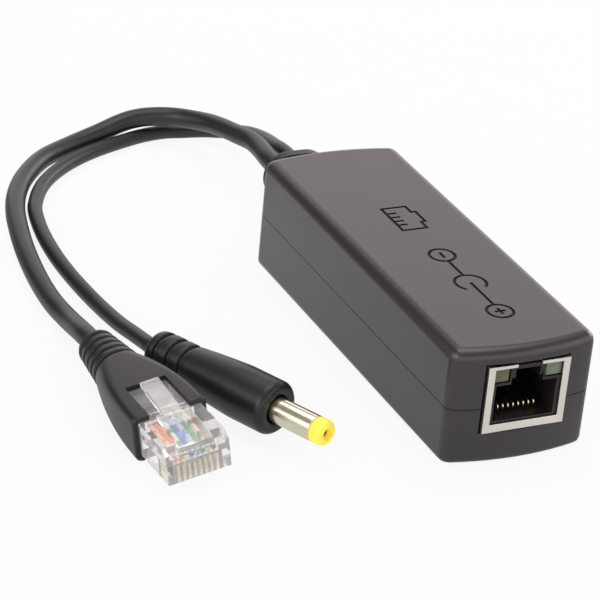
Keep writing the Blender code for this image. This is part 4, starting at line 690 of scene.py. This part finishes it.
def makeBoot(b):
    # the mouth narrows to the neck as a power of its share of the way, a wave of one pitch sinks the grooves,
    # and the last rows round the rim
    share = np.concatenate([b["firstRows"], np.linspace(*b["rows"])])
    y = b["from"] + (b["shoulder"] - b["from"]) * share
    blend = share ** b["narrowing"]
    ease = 2 * b["edge"] * (1 - np.sin(np.clip((y - b["from"]) / b["edge"], 0, 1) * np.pi / 2))
    width = b["frontWidth"] + (b["neckWidth"] - b["frontWidth"]) * blend - ease
    height = b["frontHeight"] + (b["neckHeight"] - b["frontHeight"]) * blend - ease
    radius = b["corner"] + (height / 2 - b["corner"]) * blend
    ribShare = np.linspace(0, 1, b["ribRows"] * b["ribs"] + 1)[1:]
    sunk = np.interp(np.mod(ribShare * b["ribs"], 1.0), *b["groove"])
    sunk = sunk * sunk * (3 - 2 * sunk) * 2 * b["grooveDepth"]
    sunk[-len(b["rim"]):] += b["rim"]
    ribWidth = b["neckWidth"] + (b["rear"] - b["neckWidth"]) * ribShare - sunk
    ribHeight = b["neckHeight"] + (b["rear"] - b["neckHeight"]) * ribShare - sunk
    grid = roundedRings(np.concatenate([width, ribWidth]), np.concatenate([height, ribHeight]),
                        np.concatenate([radius, ribHeight / 2 - hair]),
                        np.concatenate([y, b["shoulder"] + ribShare * b["ribs"] * b["pitch"]]),
                        b["plugHeight"] / 2 + b["lift"] * np.concatenate([blend, np.ones_like(ribShare)]))
    boot = skin("plugBoot", placed(grid, plugPose), bootVinyl)
    half, front = b["plugWidth"] / 2 + b["play"], b["from"] - b["beyond"]
    reach = plugPose["plugLength"] + b["sleeveGap"]
    sleeve = block((-half, front, -b["play"]), (half, reach, b["plugHeight"] + b["play"]), b["sleeveCorner"])
    half = b["slotWidth"] / 2
    slot = block((-half, front, b["plugHeight"] / 2), (half, b["from"] + b["slotLength"], b["slotTop"]),
                 b["slotCorner"])
    bore = turnedGrid([(reach - b["overlap"], b["bore"] / 2), (b["boreTo"], b["bore"] / 2)], 40)
    bore = bore + np.array([0, 0, plugMiddle]) * mm
    carve(boot, [placed(grid, plugPose) for grid in (sleeve, slot, bore)])
    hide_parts("plug_boot")
    return boot


plugBoot = makeBoot(bootShape)
plugBody = smoothCopy("plug_housing", "plugClearBody", plugClear, 30, 0.12)
shellShape = {"seamHeight": 10.9, "seamGap": 0.3, "seamShown": 0.14, "seamRim": 0.02, "sharpAngle": 40,
              "flatArea": 200, "flatBorder": 0.1}  # the area in square millimetres


def easeFlats(piece, shape):
    # large flat faces get a narrow border, so that the rounding beside them doesn't tint their middle
    work = bmesh.new()
    work.from_mesh(piece.data)
    planes = {}
    for face in work.faces:
        normal = face.normal
        key = (*(round(v, 3) for v in normal), round(normal.dot(face.calc_center_median()) / mm, 2))
        planes.setdefault(key, []).append(face)
    for faces in planes.values():
        if sum(face.calc_area() for face in faces) > shape["flatArea"] * mm * mm:
            bmesh.ops.inset_region(work, faces=faces, thickness=shape["flatBorder"] * mm, use_even_offset=True,
                                   use_boundary=True)
    work.to_mesh(piece.data)
    work.free()
    smooth(piece.data, shape["sharpAngle"])


def closeSeam(piece, shape, side):
    # the rim at the seam moves towards its middle by half of what the shown gap is narrower
    points = np.empty(len(piece.data.vertices) * 3, dtype=np.float32)
    piece.data.vertices.foreach_get("co", points)
    points = points.reshape(-1, 3)
    rimHeight = shape["seamHeight"] + side * shape["seamGap"] / 2
    rim = np.abs(points[:, 2] - rimHeight * mm) < shape["seamRim"] * mm
    points[rim, 2] -= side * (shape["seamGap"] - shape["seamShown"]) / 2 * mm
    piece.data.vertices.foreach_set("co", points.ravel())
    piece.data.update()


topShell = smoothCopy("top_cover", "topShell", markedPlastic, shellShape["sharpAngle"])
closeSeam(topShell, shellShape, 1)
easeFlats(topShell, shellShape)
markShape = {
    "stroke": 0.6, "depth": 0.25, "above": 0.5, "top": 22.2, "middle": 0.9,
    "socketAt": 9.6, "socket": (2.5, 4.6), "notch": 2.1, "notchOut": 1.2, "notchIn": 0.9,
    "pins": (-2.4, -0.8, 0.8, 2.4), "pinEnd": -0.4,
    "signAt": -17.2, "signReach": 11.2, "ring": 2.4, "cross": 1.1, "arc": 2.9, "arcSpan": (-50, 230), "lap": 0.2,
    "arcPoints": 33,
}


def markStrokes(m):
    # a socket sign and the usual sign of a plug's polarity: straight strokes between two points, and round ones
    # as points at one distance from a middle
    def line(x0, y0, x1, y1):
        return np.linspace((x0, y0), (x1, y1), 2)

    def arc(y, radius, start=0.0, end=360.0):
        angle = np.radians(np.linspace(start, end, m["arcPoints"]))
        return np.stack([radius * np.cos(angle), y + radius * np.sin(angle)], axis=-1)

    half, tall = m["socket"]
    at, sign, reach, notch, cross = m["socketAt"], m["signAt"], m["signReach"], m["notch"], m["cross"]
    over = m["stroke"] / 2
    outer, inner = half + m["notchOut"], half + m["notchIn"]
    strokes = [line(-half, at - tall - over, -half, at + tall + over), line(-half, at + tall, half, at + tall),
               line(-half, at - tall, half, at - tall), line(half, at + tall + over, half, at + notch),
               line(half, at - tall - over, half, at - notch), line(half - over, at + notch, outer, at + notch),
               line(half - over, at - notch, outer, at - notch), line(inner, at - notch, inner, at + notch)]
    strokes += [line(-half, at + k, m["pinEnd"], at + k) for k in m["pins"]]
    strokes += [arc(sign + reach, m["ring"]), line(0, sign + reach - cross, 0, sign + reach + cross),
                arc(sign - reach, m["ring"]), line(0, sign - reach - cross, 0, sign - reach + cross),
                line(-cross, sign - reach, cross, sign - reach), arc(sign, m["arc"], *m["arcSpan"]),
                line(0, sign + m["arc"] - m["lap"], 0, sign + reach - m["ring"]),
                line(0, sign, 0, sign - reach + m["ring"])]
    return strokes


def strokeGrid(points, m):
    # a bar of rectangular section carried along the points, half a stroke to each side and from below the face
    if np.allclose(points[0], points[-1]):
        along = np.gradient(np.concatenate([points[-2:-1], points, points[1:2]]), axis=0)[1:-1]
    else:
        along = np.gradient(points, axis=0)
    along = unit(along)
    side = np.stack([-along[:, 1], along[:, 0]], axis=-1) * m["stroke"] / 2
    low, high = m["top"] - m["depth"], m["top"] + m["above"]
    rows = [np.column_stack([points + k * side, np.full(len(points), z)])
            for k, z in ((1, low), (-1, low), (-1, high), (1, high))]
    return (np.stack(rows, axis=1) + np.array([m["middle"], 0, 0])) * mm


carve(topShell, [strokeGrid(stroke, markShape) for stroke in markStrokes(markShape)])
bottomShell = smoothCopy("bottom_cover", "bottomShell", mainPlastic, shellShape["sharpAngle"])
closeSeam(bottomShell, shellShape, -1)
easeFlats(bottomShell, shellShape)
grommetShape = {
    "flangeFrom": 37.925, "flangeTo": 39.425, "collarFrom": 42.3, "collarTo": 55.3, "neck": (11.4, 8.2), "rim": 1.4,
    "base": (14.4, 11.0), "end": (13.7, 10.2), "grooves": 3, "grooveDepth": 0.7, "grooveWidth": 1.1, "edge": 0.7,
    "grooveEase": 0.12, "grooveFlank": 0.3, "flangeEdge": (0.01, 0.2), "collarEdge": (0.3, 0.4), "rows": 131,
    "boreFromTo": (36, 56.5), "play": 0.12,
}


def makeGrommet(g):
    # an oval flange, a neck in the wall's slot, and a collar that tapers evenly with sunk rings
    flange = [n + 2 * g["rim"] for n in g["neck"]]
    back, drop = g["flangeEdge"]
    y = [g["flangeFrom"], g["flangeFrom"] + back, g["flangeTo"], g["flangeTo"], g["collarFrom"]]
    wide, tall = ([flange[k] - drop, flange[k], flange[k], g["neck"][k], g["neck"][k]] for k in (0, 1))
    share = np.linspace(0, 1, g["rows"])
    along = g["collarFrom"] + (g["collarTo"] - g["collarFrom"]) * share
    pitch = (g["collarTo"] - g["collarFrom"]) / (g["grooves"] + 1)
    off = np.abs(np.mod(along - g["collarFrom"] + pitch / 2, pitch) - pitch / 2)
    near = np.clip((g["grooveWidth"] / 2 + g["grooveEase"] - off) / g["grooveFlank"], 0, 1)
    near[(along < g["collarFrom"] + pitch / 2) | (along > g["collarTo"] - pitch / 2)] = 0
    sunk = 2 * g["grooveDepth"] * near * near * (3 - 2 * near)
    end = np.clip((along - g["collarTo"] + g["edge"]) / g["edge"], 0, 1)
    back, drop = g["collarEdge"]
    start = np.clip(1 - (along - g["collarFrom"]) / back, 0, 1)
    sunk = sunk + 2 * g["edge"] * (1 - np.sqrt(1 - 0.999 * end ** 2)) + drop * start ** 2
    collarWide = g["base"][0] + (g["end"][0] - g["base"][0]) * share - sunk
    collarTall = g["base"][1] + (g["end"][1] - g["base"][1]) * share - sunk
    tall = np.concatenate([tall, collarTall])
    grid = roundedRings(np.concatenate([wide, collarWide]), tall, tall / 2 - hair,
                        np.concatenate([y, along]), cordRoutes["exitHeight"], 11)
    grommet = skin("cordGrommet", grid, grommetVinyl)
    bores = []
    for name in ("ethernet", "power"):
        c = cordRoutes[name]
        bore = turnedGrid([(y, c["diameter"] / 2 + g["play"]) for y in g["boreFromTo"]], 36)
        bores.append(bore + np.array([c["exitX"], 0, cordRoutes["exitHeight"]]) * mm)
    carve(grommet, bores)
    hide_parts("cable_grommet")
    return grommet


grommet = makeGrommet(grommetShape)
jackCan = smoothCopy("jack_shield", "jackCan", shieldTin, 30, 0.05)
jackInsert = smoothCopy("jack_body", "jackInsert", socketNylon, 30, 0.08)
contactShape = {"count": 8, "pitch": 1.02, "diameter": 0.4, "front": -41.7, "floor": 8.3, "above": 0.15,
                "setback": 2.7, "bend": 0.95, "bendShare": 1.3, "shelf": 7.2, "climb": 3.2, "depth": 14.5,
                "climbRadii": 10, "endGap": 0.3, "rounding": 0.5, "roundingRows": 6, "sides": 12}


def makeContacts(c):
    # each wire is a circle carried along one rounded line: up at the front, back along a shelf, then climbing
    radius = c["diameter"] / 2
    low = c["floor"] + radius + c["above"]
    bend = c["front"] + c["setback"]
    top = low + c["bendShare"] * c["bend"]
    end = c["front"] + c["depth"]
    line = [(bend + 3 * radius, low), (bend, low + radius), (bend, low + c["bend"]), (bend + 3 * radius, top),
            (c["front"] + c["shelf"], top + radius / 2), (end - c["climbRadii"] * radius, low + c["climb"]),
            (end - c["endGap"], low + c["climb"] + radius / 2)]
    line = roundedProfile(line, c["rounding"], c["roundingRows"])
    for number in range(1, c["count"] + 1):
        x = (number - (c["count"] + 1) / 2) * c["pitch"]
        path = np.stack([np.full(len(line), x), line[:, 0], line[:, 1]], axis=-1) * mm
        tangent = unit(np.gradient(path, axis=0))
        side = np.broadcast_to(np.array([1.0, 0, 0]), path.shape)
        grid = rings(path, side, np.cross(side, tangent), radius * mm, c["sides"])
        wire = skin(f"jackWire{number}", grid, contactGold)
        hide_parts(f"jack_contact_{number}")


makeContacts(contactShape)
for side, look in (("left", leftLens), ("right", rightLens)):
    piece = smoothCopy(f"jack_led_{side}", f"jackLens{side.capitalize()}", look, 30)
print("plug, boot, shells and jack dressed")


def dress(node, finish):
    coat(nodes[node].data, finish)


dress("circuit_board", boardFinish())
for node in ("lan_transformer", "bridge_rectifier_1", "bridge_rectifier_2", "controller_chip"):
    dress(node, packageFinish(node + "Finish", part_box(node)))
for node in ("input_capacitor", "output_capacitor"):
    dress(node, canFinish(node + "Finish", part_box(node)))
dress("power_transformer", ferriteFinish("transformerFinish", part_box("power_transformer")))
dress("output_inductor", ferriteFinish("inductorFinish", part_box("output_inductor"), drum=True))
dress("power_plug_contact", innerBrass)
eight = range(1, 9)
for k in eight:
    dress(f"plug_contact_{k}", contactGold)
    dress(f"plug_wire_{k}", wirePlastic[k])
    dress(f"data_lead_{k}", wirePlastic[k])
dress("power_lead_1", redLead)
dress("power_lead_2", blackLead)
print("inner solids dressed")

[tuple(p) for p in ethernetPath[::4]] + [tuple(ethernetPath[-1])]
([plugBoot, plugBody] + [nodes[f"plug_contact_{k}"] for k in eight]
        + [nodes[f"plug_wire_{k}"] for k in eight])
[tuple(p) for p in powerPath[::4]] + [tuple(powerPath[-1])]


stageSetup = {
    "floor": 4.0, "floorColor": (0.94, 0.94, 0.94), "seenWhite": 0.90, "below": 0.00005,  # in metres
    # in mirrors the table has painted shade: darker in front than behind, where the object's shadow falls, and dark
    # at the left and far behind
    "dim": 0.64, "dimAt": -0.040, "whiteAt": 0.080, "dark": 0.12, "leftEdge": (-0.080, -0.032),
    "darkFrom": (0.045, 0.065),
}
worldSetup = {
    "light": 0.55,  # what falls on rough surfaces; the sky is heights with their brightness in mirrors
    "sky": ((0, 1), (0.50, 1), (0.62, 0.20), (0.86, 0.20), (0.95, 0.90)),
    "mirror": 1.48, "tint": (1.0, 0.92, 0.94),
    # a dark screen at the rear left, from none of it to all, up to a height
    "dark": 0.04, "screen": (0.0, -0.30), "screenBehind": (0.50, 0.65), "screenTop": 0.7,
}
lampSetup = (
    # name, place in metres, aimed at, size, power, colour
    ("overhead", (0.10, 0.25, 0.95), (0, 0, 0), 0.9, 3.3, (1, 0.985, 0.985)),
    ("frontRight", (0.75, -0.65, 0.55), (0, -0.02, 0.01), 0.6, 0.45, (1, 1, 1)),
    ("rightFill", (0.95, 0.35, 0.25), (0, 0, 0.01), 0.6, 3.0, (1, 1, 1)),
    ("leftFill", (-0.95, -0.25, 0.55), (-0.02, 0, 0.01), 0.7, 3.0, (0.99, 1, 1)),
)


def seenRays(root, *kinds):
    # 1 for a ray of one of the kinds
    first, *others = (root.node("LightPath", out=kind) for kind in kinds)
    for other in others:
        first = first.most(other)
    return first


def ramp(strand, start, end):
    # from 0 at the start to 1 at the end
    return ((strand - start) / (end - start)).clipped()


def glowing(root, kind, strength, color=(1, 1, 1, 1)):
    return root.node(kind, {}, {"Color": color, "Strength": strength})


def makeFloor(setup):
    half = setup["floor"] / 2
    mesh = bpy.data.meshes.new("table")
    corners = [(-half, -half, 0), (half, -half, 0), (half, half, 0), (-half, half, 0)]
    mesh.from_pydata(corners, [], [(0, 1, 2, 3)])
    table = added("table", mesh)
    f = Finish("tableTop", Roughness=0.9, Specular_IOR_Level=0.0)
    grain = f.spot.spots(60, 2)
    f.give("Base_Color", grain.shades(setup["floorColor"], (0.995, 1)))
    x, y, z = f.spot.axes()
    # in mirrors only, the table shows painted shade: dim in front and dark at the left and far behind
    other = 1 - seenRays(f.root, "Is Glossy Ray")
    white = other.most(ramp(y, setup["dimAt"], setup["whiteAt"]))
    lit = other.most(ramp(x, *setup["leftEdge"]).most(1 - ramp(y, *setup["darkFrom"])))
    plain, dim, dark = (glowing(f.root, "Emission", strength) for strength in (1.0, setup["dim"], setup["dark"]))
    seen = seenRays(f.root, "Is Camera Ray", "Is Glossy Ray", "Is Transmission Ray")
    f.overlay(seen * setup["seenWhite"], lit.between(dark, white.between(dim, plain)))
    coat(mesh, f)
    table.location.z = -setup["below"]


def makeWorld(setup):
    world = bpy.data.worlds.new("studio")
    bpy.context.scene.world = world
    world.use_nodes = True
    tree = world.node_tree
    tree.nodes.clear()
    root = Strand(tree)
    x, y, z = root.node("TexCoord", out=0).axes()
    stops = [(height, tuple(brightness * c for c in setup["tint"])) for height, brightness in setup["sky"]]
    sky = root.node("ValToRGB", {"stops": stops}, {"Fac": z})
    plain, light, dark = (glowing(root, "Background", strength) for strength in (1.0, setup["light"], setup["dark"]))
    screen = ramp(x, *setup["screen"]) * ramp(y, *setup["screenBehind"]) * (z < setup["screenTop"])
    mirrored = screen.between(glowing(root, "Background", setup["mirror"], sky), dark)
    mixed = seenRays(root, "Is Camera Ray", "Is Glossy Ray").between(light, mirrored)
    mixed = seenRays(root, "Is Camera Ray", "Is Transmission Ray").between(mixed, plain)
    end = tree.nodes.new("ShaderNodeOutputWorld")
    tree.links.new(mixed.socket, end.inputs["Surface"])


def addLamps(lamps):
    for name, place, aim, size, power, color in lamps:
        data = bpy.data.lights.new(name, "AREA")
        data.shape = "DISK"
        data.size = size
        data.energy = power
        data.color = color
        turn = (Vector(place) - Vector(aim)).to_track_quat("Z", "Y")
        added(name, data).matrix_world = Matrix.LocRotScale(Vector(place), turn, None)


makeFloor(stageSetup)
makeWorld(worldSetup)
addLamps(lampSetup)
print("table and lamps placed")
